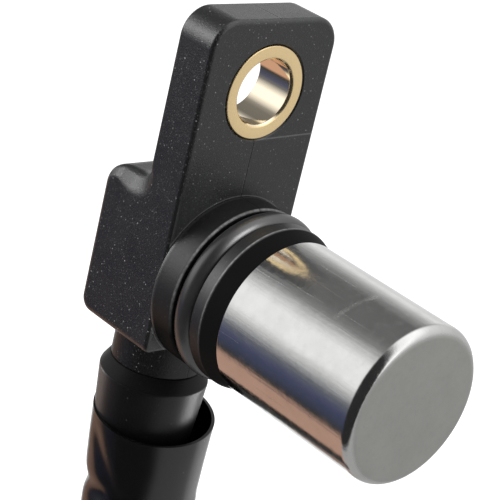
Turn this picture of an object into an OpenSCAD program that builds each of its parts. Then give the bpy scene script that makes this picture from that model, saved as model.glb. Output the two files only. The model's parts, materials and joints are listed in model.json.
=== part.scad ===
// Inductive crankshaft position sensor with a short two-wire lead.
// The origin is the centre of the bolt bush on the mounting face. The nose points
// along -Y, the ear stands up along +Z, and the lead hangs down along -Z.

/* [Mounting ear] */
// Width of the ear and of the block behind it
ear_w = 16.4; // [13:0.1:20]
// Thickness of the ear, which is also the length of the bush
ear_t = 5; // [3.5:0.1:7]
// Height of the ear's top edge above the bolt centre
ear_top = 7.5; // [6.5:0.1:10]
// Radius of the ear's two top corners
ear_corner_r = 3; // [1.5:0.1:5]
// Radius of the moulded edge round the mounting face
edge_r = 0.5; // [0.3:0.1:1.6]
// Radius of the crisp edges along the top and the bottom
crisp_r = 0.45; // [0.2:0.05:0.8]
// Radius of the hollow between the ear and the block
ear_fillet_r = 2.6; // [1:0.1:4]
// Distance from the bolt centre to the nose axis
bolt_spacing = 20.1; // [18:0.1:26]

/* [Bolt bush] */
// Outer diameter of the brass bush
bush_od = 9.7; // [8.6:0.1:11]
// Bore of the bush, for an M6 bolt
bush_id = 6.8; // [6:0.1:7.6]
// Chamfer at both ends of the bore
bush_chamfer = 0.25; // [0.1:0.05:0.4]
// Chamfer of the moulded hole round the bush
bush_seat_chamfer = 0.3; // [0.1:0.05:0.5]

/* [Body block] */
// Depth of the block behind the mounting face
block_depth = 11.3; // [10:0.1:15]
// Height of the block above the nose axis
block_up = 9.3; // [6:0.1:10]
// Height of the block below the nose axis
block_down = 7.5; // [7:0.1:9]
// Radius of the block's upper back edge
block_top_r = 2.6; // [1:0.1:4]
// Radius of the block's upper side edges
block_shoulder_r = 2.4; // [0.6:0.1:3]
// Length over which that radius runs out towards the hollow
shoulder_run_out = 1.8; // [0.9:0.1:3]
// Radius of the block's lower back edge
block_bottom_r = 1.6; // [0.5:0.1:3]
// Radius of the block's upright back edges
block_side_r = 0.9; // [0.3:0.1:1.5]

/* [Nose] */
// Diameter of the collar that fills the hole in the engine
collar_d = 18.1; // [17:0.1:20]
// Length of the collar
collar_l = 3.05; // [2:0.05:5]
// Chamfer of the collar's front edge
collar_chamfer = 0.2; // [0.1:0.05:0.4]
// Width of the seal groove
groove_w = 2.65; // [2.3:0.05:3.4]
// Depth of the seal groove below the collar
groove_depth = 2.3; // [1.8:0.05:2.6]
// Diameter of the land in front of the groove
land_d = 17.6; // [16.8:0.1:19]
// Length of the land
land_l = 1.4; // [0.8:0.1:2.5]
// Length of the tapered neck between the land and the cap
neck_l = 2.1; // [1:0.1:4]
// Height that the cap's rear edge stands above the neck
cap_step = 0.16; // [0.05:0.01:0.3]

/* [Nose cap] */
// Outer diameter of the drawn steel cap
cap_d = 16.64; // [15.8:0.02:17]
// Length of the cap
cap_l = 18.6; // [15:0.1:24]
// Wall of the cap
cap_wall = 0.4; // [0.3:0.05:0.8]
// Radius of the cap's front edge
cap_edge_r = 1.1; // [0.7:0.1:2]

/* [Seal ring] */
// Thickness of the seal ring's section
seal_section = 2.4; // [2:0.05:2.55]

/* [Sensing core] */
// Wall of the moulded socket inside the cap
socket_wall = 1.2; // [0.8:0.1:1.8]
// Distance of the socket's floor in front of the land
socket_setback = 0.4; // [0.2:0.1:1]
// Diameter of the magnet
magnet_d = 9; // [7:0.1:9.6]
// Length of the magnet
magnet_l = 4; // [2:0.1:5]
// Thickness of the pole piece's head
pole_head_t = 1.4; // [0.8:0.1:2.5]
// Amount by which the pole piece's head is smaller in radius than the magnet
pole_head_margin = 0.3; // [0.1:0.1:0.8]
// Diameter of the pole piece's shank
pole_d = 3; // [2:0.1:4]
// Thickness of the bobbin's flanges
flange_t = 1.1; // [0.8:0.1:1.6]
// Wall of the bobbin's hub
hub_wall = 0.8; // [0.5:0.1:1.2]
// Depth of the winding below the bobbin's rim
winding_margin = 0.7; // [0.3:0.1:1.5]

/* [Terminals and wires] */
// Width of a terminal pin
pin_w = 0.8; // [0.6:0.05:1]
// Thickness of a terminal pin
pin_t = 0.5; // [0.4:0.05:0.6]
// Distance between the two pins and the two wires
pin_pitch = 3.4; // [3:0.1:3.8]
// Outer diameter of a splice crimp
crimp_od = 2.3; // [2:0.05:2.6]
// Wall of a splice crimp
crimp_wall = 0.35; // [0.25:0.05:0.4]
// Length of a splice crimp
crimp_l = 5; // [4:0.1:7]
// Distance of a crimp below the bend of its pin
crimp_drop = 0.9; // [0.6:0.1:1.5]
// Gap between the pin and the strand inside a crimp
splice_gap = 0.5; // [0.3:0.1:1]
// Length of bare strand between a wire's insulation and its crimp or barrel
strip_gap = 0.3; // [0.2:0.1:0.6]
// Diameter of a wire over its insulation
wire_d = 2; // [1.6:0.1:2.3]
// Diameter of a wire's copper strand
strand_d = 1.1; // [0.7:0.05:1.2]

/* [Cable outlet] */
// Diameter of the moulded outlet below the block
outlet_d = 9.88; // [9:0.02:11]
// Length of the outlet that shows below the block
outlet_l = 4.9; // [3:0.1:8]
// Distance of the outlet's axis behind the mounting face
outlet_y = 6.5; // [5.6:0.1:7]
// Length of the spigot inside the boot
spigot_l = 7; // [5:0.1:9]
// Step from the outlet down to its spigot
spigot_step = 0.7; // [0.4:0.05:0.9]

/* [Cable boot] */
// Largest diameter of the rubber boot
boot_d = 11.74; // [11:0.02:12]
// Length of the boot's sloping shoulder
boot_shoulder_l = 1.5; // [0.6:0.1:2.5]
// Length of the whole boot
boot_l = 10; // [8.5:0.1:12]
// Amount by which the boot narrows where the tube goes over it
boot_taper = 0.75; // [0.5:0.05:1.2]
// Length of the narrowed tail of the boot
boot_tail_l = 3.6; // [2.5:0.1:4.5]
// Radius of the boot's lower edge
boot_round_r = 0.6; // [0.3:0.1:1]

/* [Protective tube] */
// Outer diameter of the tube
tube_d = 12.4; // [12.2:0.1:13]
// Wall of the tube
tube_wall = 0.4; // [0.3:0.05:0.5]
// Amount by which the tube's mouth flares over the boot
tube_flare = 0.65; // [0.5:0.05:0.9]
// Length of the flared mouth
tube_flare_l = 7.5; // [6:0.5:12]

/* [Connector] */
// Width of the connector's shroud
shroud_w = 18; // [17:0.1:22]
// Depth of the connector's shroud
shroud_d = 13; // [12.6:0.1:16]
// Wall of the shroud
shroud_wall = 1.3; // [1:0.1:1.8]
// Depth of the socket inside the shroud
shroud_l = 18; // [15:0.1:24]
// Length of the terminal block behind the shroud
block_l = 14; // [12.5:0.1:18]
// Amount by which the terminal block is slimmer than the shroud
block_inset = 1.6; // [1:0.1:2]
// Thickness of the rib where the shroud meets the terminal block
rib_t = 1.2; // [0.8:0.1:2]
// Height of that rib above the shroud
rib_h = 0.6; // [0.3:0.1:1]
// Distance between the two terminals
terminal_pitch = 5; // [4.8:0.1:6]
// Width of a terminal blade
blade_w = 1.5; // [1:0.1:2]
// Thickness of a terminal blade
blade_t = 0.6; // [0.5:0.05:0.8]
// Length of a blade inside the shroud
blade_l = 12; // [8:0.1:14]
// Length of a terminal's crimp barrel
barrel_l = 4.5; // [3.5:0.1:4.8]
// Outer diameter of a crimp barrel
barrel_od = 2.6; // [2.4:0.1:2.9]
// Wall of a crimp barrel
barrel_wall = 0.4; // [0.3:0.05:0.5]
// Length of strand inside a crimp barrel
barrel_grip = 2.7; // [2:0.1:3]
// Diameter of the bore for a wire seal
seal_bore_d = 4; // [3.6:0.1:4.3]
// Length of a wire seal
seal_l = 5; // [4:0.1:6]
// Distance of a wire seal below the top of the terminal block
seal_setback = 0.6; // [0.3:0.1:1]
// Depth of the grooves between a wire seal's ribs
seal_groove = 0.4; // [0.2:0.05:0.6]
// Number of ribs round a wire seal
seal_ribs = 3; // [2:1:4]
// Gap between a wire seal and its terminal
seal_gap = 0.5; // [0.3:0.1:0.8]
// Thickness of the terminal retainer
retainer_t = 2.2; // [1.5:0.1:3]
// Gap between the retainer and the wall of the shroud
retainer_margin = 1.2; // [0.5:0.1:1.6]
// Length of the rear cover's skirt over the terminal block
cover_skirt_l = 7; // [5:0.1:9]
// Wall of the rear cover
cover_wall = 1.2; // [0.9:0.1:1.8]
// Thickness of the rear cover's roof
cover_roof_t = 1.4; // [1:0.1:2]
// Room round the two wires inside the rear cover
wire_room = 0.2; // [0.1:0.05:0.4]
// Length of the rear cover's spigot inside the tube
cover_spigot_l = 8; // [6:0.1:12]
// Height of the latch ramp on the shroud
latch_h = 1.6; // [1:0.1:2.5]
// Width of the latch ramp
latch_w = 5; // [3:0.5:8]
// Length of the latch ramp
latch_l = 5; // [3:0.5:8]

/* [Fits] */
// Clearance between pieces that are pressed or moulded together
snug = 0.05; // [0.03:0.01:0.08]
// Clearance between pieces that slide together
slip = 0.12; // [0.08:0.01:0.16]

/* [Hidden] */
$fn = 64;
// Amount by which a cut passes the face that it opens
over = 1;

// Heights and stations of the housing, with stations counted forwards from the mounting face
nose_z = -bolt_spacing;
block_top = nose_z + block_up;
block_bottom = nose_z - block_down;
groove_end = collar_l + groove_w;
land_end = groove_end + land_l;
cap_rear = land_end + neck_l;
nose_end = cap_rear + cap_l;

// Radii of the nose
collar_r = collar_d / 2;
groove_r = collar_r - groove_depth;
cap_r = cap_d / 2;
cap_inner_r = cap_r - cap_wall;
neck_r = cap_r - cap_step;
core_r = cap_inner_r - snug;
core_end = nose_end - cap_wall - slip;
root_r = min(collar_r, ear_w / 2, block_down) - edge_r;

// The seal ring sits on the floor of its groove
seal_r = seal_section / 2;
seal_centre_r = groove_r + snug + seal_r;
seal_centre = collar_l + groove_w / 2;

// The sensing core is a stack from the floor of the socket forwards
socket_r = core_r - socket_wall;
socket_floor = land_end + socket_setback;
bobbin_r = socket_r - slip;
magnet_r = magnet_d / 2;
magnet_seat_r = magnet_r + slip;
magnet_end = socket_floor + snug + magnet_l;
pole_head_r = magnet_r - pole_head_margin;
pole_r = pole_d / 2;
pole_head_end = magnet_end + snug + pole_head_t;
rear_flange_end = pole_head_end + snug + flange_t;
hub_r = pole_r + snug + hub_wall;
front_flange = core_end - flange_t;
winding_r = bobbin_r - winding_margin;

// The pins leave the bobbin between the magnet and its rim and turn down into the outlet
pin_drop = (magnet_seat_r + bobbin_r) / 2;
pin_z = nose_z - pin_drop;
pin_root = socket_floor + magnet_l / 2;
crimp_r = crimp_od / 2;
crimp_bore_r = crimp_r - crimp_wall;
crimp_top = pin_z - crimp_drop;
crimp_bottom = crimp_top - crimp_l;
splice_grip = (crimp_l - splice_gap) / 2;
wire_bore_r = pin_pitch / 2 + crimp_r + slip;
wire_bore_top = pin_z + pin_t / 2 + slip;

// Outlet, boot and tube
outlet_r = outlet_d / 2;
spigot_r = outlet_r - spigot_step;
outlet_end = block_bottom - outlet_l;
spigot_end = outlet_end - spigot_l;
boot_r = boot_d / 2;
boot_end = outlet_end - boot_l;
boot_tail_r = boot_r - boot_taper;
tube_r = tube_d / 2;

// Route of the tube from its mouth on the boot to the connector, hanging almost straight
tube_route = [
    [0.4, 6.1, -39.5], [0.64, 5.92, -43], [0.9, 5.7, -47], [1.1, 5.5, -51], [1.3, 5.3, -55],
    [1.45, 5.15, -59.5], [1.6, 5, -64], [1.7, 4.9, -69.5], [1.8, 4.8, -75], [1.9, 4.7, -81],
    [2, 4.6, -88], [2, 4.6, -96], [2, 4.6, -105], [2, 4.6, -115], [2, 4.6, -125], [2, 4.6, -135]
];
// First point of that route that the two wires follow, below the boot
wires_join = 4;
tube_sides = 12;
wire_sides = 8;
tube_end = tube_route[len(tube_route) - 1];

// Heights of the connector, downwards from the end of the tube
cover_top = tube_end[2];
block_z = cover_top - cover_roof_t - snug;
shroud_z = block_z - block_l;
shroud_floor = shroud_z - shroud_wall;
shroud_end = shroud_floor - shroud_l;
block_w = shroud_w - 2 * block_inset;
block_t = shroud_d - 2 * block_inset;
cavity_w = shroud_w - 2 * shroud_wall;
cavity_t = shroud_d - 2 * shroud_wall;
cover_spigot_r = tube_r * cos(180 / tube_sides) - tube_wall - slip;
cover_bore_r = terminal_pitch / 2 + wire_d / 2 + wire_room;
seal_bore_r = seal_bore_d / 2;
seal_top = block_z - seal_setback;
seal_bottom = seal_top - seal_l;
terminal_top = seal_bottom - seal_gap;
barrel_r = barrel_od / 2;
terminal_seat_r = barrel_r + slip;
blade_top = terminal_top - barrel_l - snug;
blade_tip = shroud_floor - blade_l;

// Side of the lead that each numbered piece lies on
function side_of(number) = number == 1 ? -1 : 1;

// Turns a shape drawn round Z so that its height runs forwards along the nose
module along_nose() {
    translate([0, 0, nose_z]) rotate([90, 0, 0]) children();
}

// Turns a shape drawn round Z so that its height runs backwards from the mounting face
module into_ear() {
    rotate([-90, 0, 0]) children();
}

// Waste of a rounded corner that points along the given signs
module corner_waste(corner, radius, signs) {
    centre = [corner[0] - signs[0] * radius, corner[1] - signs[1] * radius];
    difference() {
        translate([centre[0] + signs[0] * (radius + over) / 2, centre[1] + signs[1] * (radius + over) / 2])
            square(radius + over, center = true);
        translate(centre) circle(radius);
    }
}

// Rectangle with round ends, as wide as given
module obround(width, depth) {
    half = (width - depth) / 2;
    square([2 * half, depth], center = true);
    translate([-half, 0]) circle(depth / 2);
    translate([half, 0]) circle(depth / 2);
}

// Ring of points round a route point, in the plane across Z
function ring(centre, radius, sides) =
    [for (i = [0 : sides - 1]) centre + [radius * cos(360 * i / sides), radius * sin(360 * i / sides), 0]];

// Side faces between neighbouring rings, turned outwards when flip is false
function skin(first, rings, sides, flip) = [
    for (r = [0 : rings - 2], i = [0 : sides - 1])
        let (a = first + r * sides + i, b = first + r * sides + (i + 1) % sides)
            flip ? [a, a + sides, b + sides, b] : [a, b, b + sides, a + sides]
];

// Flat ring of faces that joins an outer and an inner loop
function rim(outer, inner, sides, flip) = [
    for (i = [0 : sides - 1])
        let (j = (i + 1) % sides)
            flip ? [outer + i, inner + i, inner + j, outer + j] : [outer + i, outer + j, inner + j, inner + i]
];

// Solid cord swept down a route
module cord(route, radius, sides) {
    count = len(route);
    polyhedron(
        points = [for (p = route) each ring(p, radius, sides)],
        faces = concat(
            [[for (i = [sides - 1 : -1 : 0]) i]],
            skin(0, count, sides, true),
            [[for (i = [0 : sides - 1]) (count - 1) * sides + i]]
        )
    );
}

// Hollow cord swept down a route, with its mouth opened out by a flare
module hollow_cord(route, radius, wall, flare, flare_l, sides) {
    count = len(route);
    spread = function (i) flare * max(1 - (route[0][2] - route[i][2]) / flare_l, 0);
    outer = [for (i = [0 : count - 1]) each ring(route[i], radius + spread(i), sides)];
    inner = [for (i = [0 : count - 1]) each ring(route[i], radius + spread(i) - wall, sides)];
    inner_first = count * sides;
    last = (count - 1) * sides;
    polyhedron(
        points = concat(outer, inner),
        faces = concat(
            skin(0, count, sides, true),
            skin(inner_first, count, sides, false),
            rim(0, inner_first, sides, false),
            rim(last, inner_first + last, sides, true)
        )
    );
}

// Side view of the ear and the block, drawn with Y across and Z up
module side_profile() {
    difference() {
        union() {
            translate([0, block_bottom]) square([ear_t, ear_top - block_bottom]);
            translate([0, block_bottom]) square([block_depth, block_top - block_bottom]);
            translate([ear_t, block_top]) square(ear_fillet_r);
        }
        translate([ear_t + ear_fillet_r, block_top + ear_fillet_r]) circle(ear_fillet_r);
        corner_waste([block_depth, block_top], block_top_r, [1, 1]);
        corner_waste([block_depth, block_bottom], block_bottom_r, [1, -1]);
        corner_waste([0, ear_top], crisp_r, [-1, 1]);
        corner_waste([ear_t, ear_top], crisp_r, [1, 1]);
        corner_waste([0, block_bottom], crisp_r, [-1, -1]);
    }
}

// Front view of the ear and the block, drawn with X across and Z up
module front_outline() {
    difference() {
        translate([-ear_w / 2, block_bottom]) square([ear_w, ear_top - block_bottom]);
        for (s = [-1, 1]) {
            corner_waste([s * ear_w / 2, ear_top], ear_corner_r, [s, 1]);
            corner_waste([s * ear_w / 2, block_bottom], edge_r, [s, -1]);
        }
    }
}

// Top view of the block, drawn with X across and Y up
module plan_outline() {
    difference() {
        translate([-ear_w / 2, 0]) square([ear_w, block_depth]);
        for (s = [-1, 1]) {
            corner_waste([s * ear_w / 2, 0], edge_r, [s, -1]);
            corner_waste([s * ear_w / 2, block_depth], block_side_r, [s, 1]);
        }
    }
}

// Waste of the rounded side edges on top of the block, which run out like a spoon at the hollow
module shoulder_waste() {
    hollow_end = ear_t + ear_fillet_r;
    run = block_depth + over - hollow_end;
    for (s = [-1, 1])
        translate([s * (ear_w / 2 - block_shoulder_r), hollow_end, block_top - block_shoulder_r])
            rotate([-90, 0, 0]) difference() {
                translate([s * (block_shoulder_r + over) / 2, -(block_shoulder_r + over) / 2, run / 2])
                    cube([block_shoulder_r + over, block_shoulder_r + over, run], center = true);
                translate([0, 0, -over]) cylinder(h = run + 2 * over, r = block_shoulder_r);
                cylinder(h = shoulder_run_out, r1 = sqrt(2) * block_shoulder_r + over, r2 = block_shoulder_r);
            }
}

// Ear and block in one moulding, rounded in all three views
module ear_and_block() {
    difference() {
        intersection() {
            rotate([90, 0, 90]) linear_extrude(ear_w + 2 * over, center = true) side_profile();
            rotate([90, 0, 0]) translate([0, 0, -block_depth - over])
                linear_extrude(block_depth + 2 * over) front_outline();
            translate([0, 0, block_bottom - over])
                linear_extrude(ear_top - block_bottom + 2 * over) plan_outline();
        }
        shoulder_waste();
    }
}

// Collar, seal groove, land, neck and core of the nose
module nose_core() {
    along_nose() rotate_extrude() polygon([
        [0, -block_depth / 2], [root_r, -block_depth / 2], [root_r, 0], [collar_r, 0],
        [collar_r, collar_l - collar_chamfer], [collar_r - collar_chamfer, collar_l],
        [groove_r, collar_l], [groove_r, groove_end], [land_d / 2, groove_end], [land_d / 2, land_end],
        [neck_r, cap_rear], [core_r, cap_rear], [core_r, core_end - cap_edge_r],
        [core_r - cap_edge_r, core_end], [0, core_end]
    ]);
}

// Outlet for the cable, with the thinner spigot that the boot is pushed over
module outlet() {
    translate([0, outlet_y, outlet_end])
        cylinder(r = outlet_r, h = block_bottom - outlet_end + block_down / 2);
    translate([0, outlet_y, spigot_end]) cylinder(r = spigot_r, h = outlet_end - spigot_end + over);
}

// Channel for one pin from the socket to the wire bore
module pin_channel(side) {
    translate([side * pin_pitch / 2 - pin_w / 2 - snug, -socket_floor - over, pin_z - pin_t / 2 - snug])
        cube([pin_w + 2 * snug, socket_floor + outlet_y + over, pin_t + 2 * snug]);
}

// Black glass-filled moulding that everything else is fitted to
module housing() {
    color("#2b2c2f") difference() {
        union() {
            ear_and_block();
            nose_core();
            outlet();
        }
        into_ear() translate([0, 0, -over]) cylinder(d = bush_od + 2 * snug, h = ear_t + 2 * over);
        into_ear() translate([0, 0, -snug])
            cylinder(d1 = bush_od + 2 * bush_seat_chamfer, d2 = bush_od, h = bush_seat_chamfer);
        along_nose() translate([0, 0, socket_floor]) cylinder(r = socket_r, h = core_end);
        translate([0, outlet_y, spigot_end - over])
            cylinder(r = wire_bore_r, h = wire_bore_top - spigot_end + over);
        for (s = [-1, 1]) pin_channel(s);
    }
}

// Brass sleeve that takes the load of the bolt
module mounting_bush() {
    bore_r = bush_id / 2;
    color("#c9ad77") into_ear() rotate_extrude() polygon([
        [bore_r + bush_chamfer, 0], [bush_od / 2, 0], [bush_od / 2, ear_t], [bore_r + bush_chamfer, ear_t],
        [bore_r, ear_t - bush_chamfer], [bore_r, bush_chamfer]
    ]);
}

// Half section of a cup with a rounded front edge
module cup_section(radius, front, edge) {
    difference() {
        translate([0, cap_rear]) square([radius, front - cap_rear]);
        corner_waste([radius, front], edge, [1, 1]);
    }
}

// Deep-drawn stainless cap over the core of the nose
module nose_cap() {
    color("#c4c5c3") along_nose() rotate_extrude() difference() {
        cup_section(cap_r, nose_end, cap_edge_r);
        cup_section(cap_inner_r, nose_end - cap_wall, cap_edge_r - cap_wall);
    }
}

// Rubber ring that seals the nose in the engine
module o_ring() {
    color("#1c1c1d") along_nose() translate([0, 0, seal_centre])
        rotate_extrude() translate([seal_centre_r, 0]) circle(seal_r);
}

// Soft iron pole with a head that gathers the magnet's field
module pole_piece() {
    color("#8f9296") along_nose() rotate_extrude() polygon([
        [0, magnet_end + snug], [pole_head_r, magnet_end + snug], [pole_head_r, pole_head_end],
        [pole_r, pole_head_end], [pole_r, core_end], [0, core_end]
    ]);
}

// Round magnet on the floor of the socket
module magnet() {
    color("#55585c") along_nose() translate([0, 0, socket_floor + snug]) cylinder(r = magnet_r, h = magnet_l);
}

// Spool for the coil, with a skirt round the magnet that holds the two pins
module bobbin() {
    bore_r = pole_r + snug;
    color("#3d3a35") difference() {
        along_nose() rotate_extrude() polygon([
            [magnet_seat_r, socket_floor + snug], [bobbin_r, socket_floor + snug],
            [bobbin_r, rear_flange_end], [hub_r, rear_flange_end], [hub_r, front_flange],
            [bobbin_r, front_flange], [bobbin_r, core_end], [bore_r, core_end],
            [bore_r, pole_head_end + snug], [magnet_seat_r, pole_head_end + snug]
        ]);
        for (s = [-1, 1])
            translate([s * pin_pitch / 2 - pin_w / 2 - snug, -pin_root - snug, pin_z - pin_t / 2 - snug])
                cube([pin_w + 2 * snug, pin_root, pin_t + 2 * snug]);
    }
}

// Enamelled copper winding, as one solid ring
module coil_winding() {
    color("#a2562a") along_nose() translate([0, 0, rear_flange_end + snug]) difference() {
        cylinder(r = winding_r, h = front_flange - rear_flange_end - 2 * snug);
        translate([0, 0, -over]) cylinder(r = hub_r + snug, h = core_end);
    }
}

// Bent pin from the bobbin back through the housing and down into its crimp
module terminal_pin(side) {
    tail_bottom = crimp_top - splice_grip;
    color("#c8b48a") translate([side * pin_pitch / 2 - pin_w / 2, 0, 0]) {
        translate([0, -pin_root, pin_z - pin_t / 2]) cube([pin_w, pin_root + outlet_y + pin_t / 2, pin_t]);
        translate([0, outlet_y - pin_t / 2, tail_bottom]) cube([pin_w, pin_t, pin_z - tail_bottom]);
    }
}

// Tinned tube that joins a pin to its wire
module splice_crimp(side) {
    color("#b9bbbd") translate([side * pin_pitch / 2, outlet_y, crimp_bottom]) difference() {
        cylinder(r = crimp_r, h = crimp_l);
        translate([0, 0, -over]) cylinder(r = crimp_bore_r, h = crimp_l + 2 * over);
    }
}

// Insulated wire from its crimp down the tube into the connector, with bare ends
module lead_wire(side) {
    upper = [side * pin_pitch / 2, outlet_y, crimp_bottom - strip_gap];
    lower = [tube_end[0] + side * terminal_pitch / 2, tube_end[1], terminal_top + strip_gap];
    inside = [for (i = [wires_join : len(tube_route) - 2]) tube_route[i] + [side * pin_pitch / 2, 0, 0]];
    route = concat(
        [upper, [upper[0], upper[1], boot_end]],
        inside,
        [[lower[0], lower[1], block_z + cover_spigot_l / 2], lower]
    );
    color("#2a2a2c") {
        cord(route, wire_d / 2, wire_sides);
        translate(upper - [0, 0, over]) cylinder(d = strand_d, h = over + strip_gap + splice_grip);
        translate(lower - [0, 0, strip_gap + barrel_grip])
            cylinder(d = strand_d, h = strip_gap + barrel_grip + over);
    }
}

// Rubber boot on the outlet, with a sloping shoulder and a slimmer tail inside the tube
module cable_boot() {
    bore_r = spigot_r + snug;
    tail_top = boot_end + boot_tail_l;
    color("#232425") translate([0, outlet_y, 0]) rotate_extrude() difference() {
        polygon([
            [bore_r, outlet_end], [outlet_r, outlet_end], [boot_r, outlet_end - boot_shoulder_l],
            [boot_r - boot_taper / 2, tail_top], [boot_tail_r, boot_end], [wire_bore_r, boot_end],
            [wire_bore_r, spigot_end - snug], [bore_r, spigot_end - snug]
        ]);
        corner_waste([boot_tail_r, boot_end], boot_round_r, [1, -1]);
    }
}

// Thin plastic tube pushed over the boot and the connector's rear cover
module protective_tube() {
    color("#1a1a1b") hollow_cord(tube_route, tube_r, tube_wall, tube_flare, tube_flare_l, tube_sides);
}

// Moves a shape to the connector's axis at a height
module at_connector(height) {
    translate([tube_end[0], tube_end[1], height]) children();
}

// Clip-on cover that leads the wires from the tube into the terminal block
module connector_rear_cover() {
    skirt_bottom = block_z - cover_skirt_l;
    color("#202122") difference() {
        union() {
            at_connector(cover_top - snug) cylinder(r = cover_spigot_r, h = cover_spigot_l);
            at_connector(skirt_bottom) linear_extrude(cover_top - snug - skirt_bottom)
                obround(block_w + 2 * (snug + cover_wall), block_t + 2 * (snug + cover_wall));
        }
        at_connector(skirt_bottom - over) linear_extrude(cover_skirt_l + over + snug)
            obround(block_w + 2 * snug, block_t + 2 * snug);
        at_connector(skirt_bottom) cylinder(r = cover_bore_r, h = cover_skirt_l + 2 * cover_spigot_l);
    }
}

// Moves a shape to one terminal's axis at a height
module at_terminal(side, height) {
    at_connector(height) translate([side * terminal_pitch / 2, 0, 0]) children();
}

// Terminal block and open shroud of the two-pin connector
module connector_housing() {
    color("#1f2021") difference() {
        union() {
            at_connector(shroud_z - over) linear_extrude(block_l + over) obround(block_w, block_t);
            at_connector(shroud_end) linear_extrude(shroud_z - shroud_end) obround(shroud_w, shroud_d);
            at_connector(shroud_z - rib_t) linear_extrude(rib_t)
                obround(shroud_w + 2 * rib_h, shroud_d + 2 * rib_h);
            at_connector(shroud_end + shroud_l / 2) latch_ramp();
        }
        at_connector(shroud_end - over) linear_extrude(shroud_l + over) obround(cavity_w, cavity_t);
        for (s = [-1, 1]) {
            at_terminal(s, seal_bottom) cylinder(r = seal_bore_r, h = block_z - seal_bottom + over);
            at_terminal(s, blade_top) cylinder(r = terminal_seat_r, h = seal_bottom - blade_top + over);
            at_terminal(s, shroud_floor - over) translate([-blade_w / 2 - snug, -blade_t / 2 - snug, 0])
                cube([blade_w + 2 * snug, blade_t + 2 * snug, blade_top - shroud_floor + 2 * over]);
        }
    }
}

// Wedge on the shroud's back that the mating latch snaps over
module latch_ramp() {
    translate([-latch_w / 2, shroud_d / 2 - over, 0]) rotate([90, 0, 90]) linear_extrude(latch_w)
        polygon([[0, 0], [over, 0], [over + latch_h, latch_l], [0, latch_l]]);
}

// Coloured plate on the shroud's floor that locks both terminals
module connector_retainer() {
    color("#a8532c") difference() {
        at_connector(shroud_floor - snug - retainer_t) linear_extrude(retainer_t)
            obround(cavity_w - 2 * retainer_margin, cavity_t - 2 * retainer_margin);
        for (s = [-1, 1])
            at_terminal(s, shroud_floor - retainer_t - over)
                translate([-blade_w / 2 - snug, -blade_t / 2 - snug, 0])
                    cube([blade_w + 2 * snug, blade_t + 2 * snug, retainer_t + 2 * over]);
    }
}

// Tinned blade with a crimp barrel for its wire
module connector_terminal(side) {
    color("#c3c4c2") {
        at_terminal(side, terminal_top - barrel_l) difference() {
            cylinder(r = barrel_r, h = barrel_l);
            translate([0, 0, barrel_l - barrel_grip - slip])
                cylinder(r = barrel_r - barrel_wall, h = barrel_l);
        }
        at_terminal(side, blade_tip) translate([-blade_w / 2, -blade_t / 2, 0])
            cube([blade_w, blade_t, terminal_top - barrel_l + barrel_wall - blade_tip]);
    }
}

// Ribbed rubber plug that seals one wire in its bore
module wire_seal(side) {
    inner_r = wire_d / 2 + snug;
    outer_r = seal_bore_r - snug;
    pitch = seal_l / (2 * seal_ribs - 1);
    color("#8a4b2e") at_terminal(side, seal_bottom + snug) rotate_extrude() difference() {
        translate([inner_r, 0]) square([outer_r - inner_r, seal_l]);
        for (i = [1 : seal_ribs - 1])
            translate([outer_r - seal_groove, (2 * i - 1) * pitch]) square([seal_groove + over, pitch]);
    }
}

housing();
mounting_bush();
nose_cap();
o_ring();
pole_piece();
magnet();
bobbin();
coil_winding();
terminal_pin(side_of(1));  // terminal_pin_1
terminal_pin(side_of(2));  // terminal_pin_2
splice_crimp(side_of(1));  // splice_crimp_1
splice_crimp(side_of(2));  // splice_crimp_2
lead_wire(side_of(1));  // lead_wire_1
lead_wire(side_of(2));  // lead_wire_2
cable_boot();
protective_tube();
connector_rear_cover();
connector_housing();
connector_retainer();
connector_terminal(side_of(1));  // connector_terminal_1
connector_terminal(side_of(2));  // connector_terminal_2
wire_seal(side_of(1));  // wire_seal_1
wire_seal(side_of(2));  // wire_seal_2
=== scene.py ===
# %% [markdown]
# # Crankshaft position sensor
# The sensor is a black moulding with a bolted ear, a steel-capped nose with a seal ring,
# and a sleeved lead with a two-pin connector. The packed model gives the size and place of
# every piece. This lesson dresses it: each visible piece is modelled again with rounded
# edges, and every surface gets a finish made of nodes.

# %% Load the packed model
import json
import math

import bmesh
import bpy
from mathutils import Matrix, Quaternion, Vector


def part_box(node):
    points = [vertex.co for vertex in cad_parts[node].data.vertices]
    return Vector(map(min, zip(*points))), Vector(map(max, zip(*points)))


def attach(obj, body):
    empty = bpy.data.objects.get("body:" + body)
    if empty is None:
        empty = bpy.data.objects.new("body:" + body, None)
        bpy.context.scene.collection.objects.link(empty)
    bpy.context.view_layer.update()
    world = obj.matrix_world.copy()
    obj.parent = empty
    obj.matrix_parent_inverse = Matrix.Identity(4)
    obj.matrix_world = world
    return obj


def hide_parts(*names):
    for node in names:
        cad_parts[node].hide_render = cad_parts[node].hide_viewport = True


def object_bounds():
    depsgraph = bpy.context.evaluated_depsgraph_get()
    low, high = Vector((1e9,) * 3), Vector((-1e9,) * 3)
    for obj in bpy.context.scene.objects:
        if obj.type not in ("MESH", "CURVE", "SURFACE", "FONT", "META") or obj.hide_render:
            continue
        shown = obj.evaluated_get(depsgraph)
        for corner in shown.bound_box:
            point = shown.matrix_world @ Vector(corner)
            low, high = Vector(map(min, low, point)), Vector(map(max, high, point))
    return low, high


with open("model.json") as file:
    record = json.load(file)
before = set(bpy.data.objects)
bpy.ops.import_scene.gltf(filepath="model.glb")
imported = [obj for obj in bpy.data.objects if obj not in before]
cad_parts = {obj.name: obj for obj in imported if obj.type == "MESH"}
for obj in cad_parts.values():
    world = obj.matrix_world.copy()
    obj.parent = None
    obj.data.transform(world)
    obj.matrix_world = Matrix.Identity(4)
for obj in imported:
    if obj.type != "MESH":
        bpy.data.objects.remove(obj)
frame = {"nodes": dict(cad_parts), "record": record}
cad_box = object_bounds()
BODY = "root"
MM = 0.001
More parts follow.
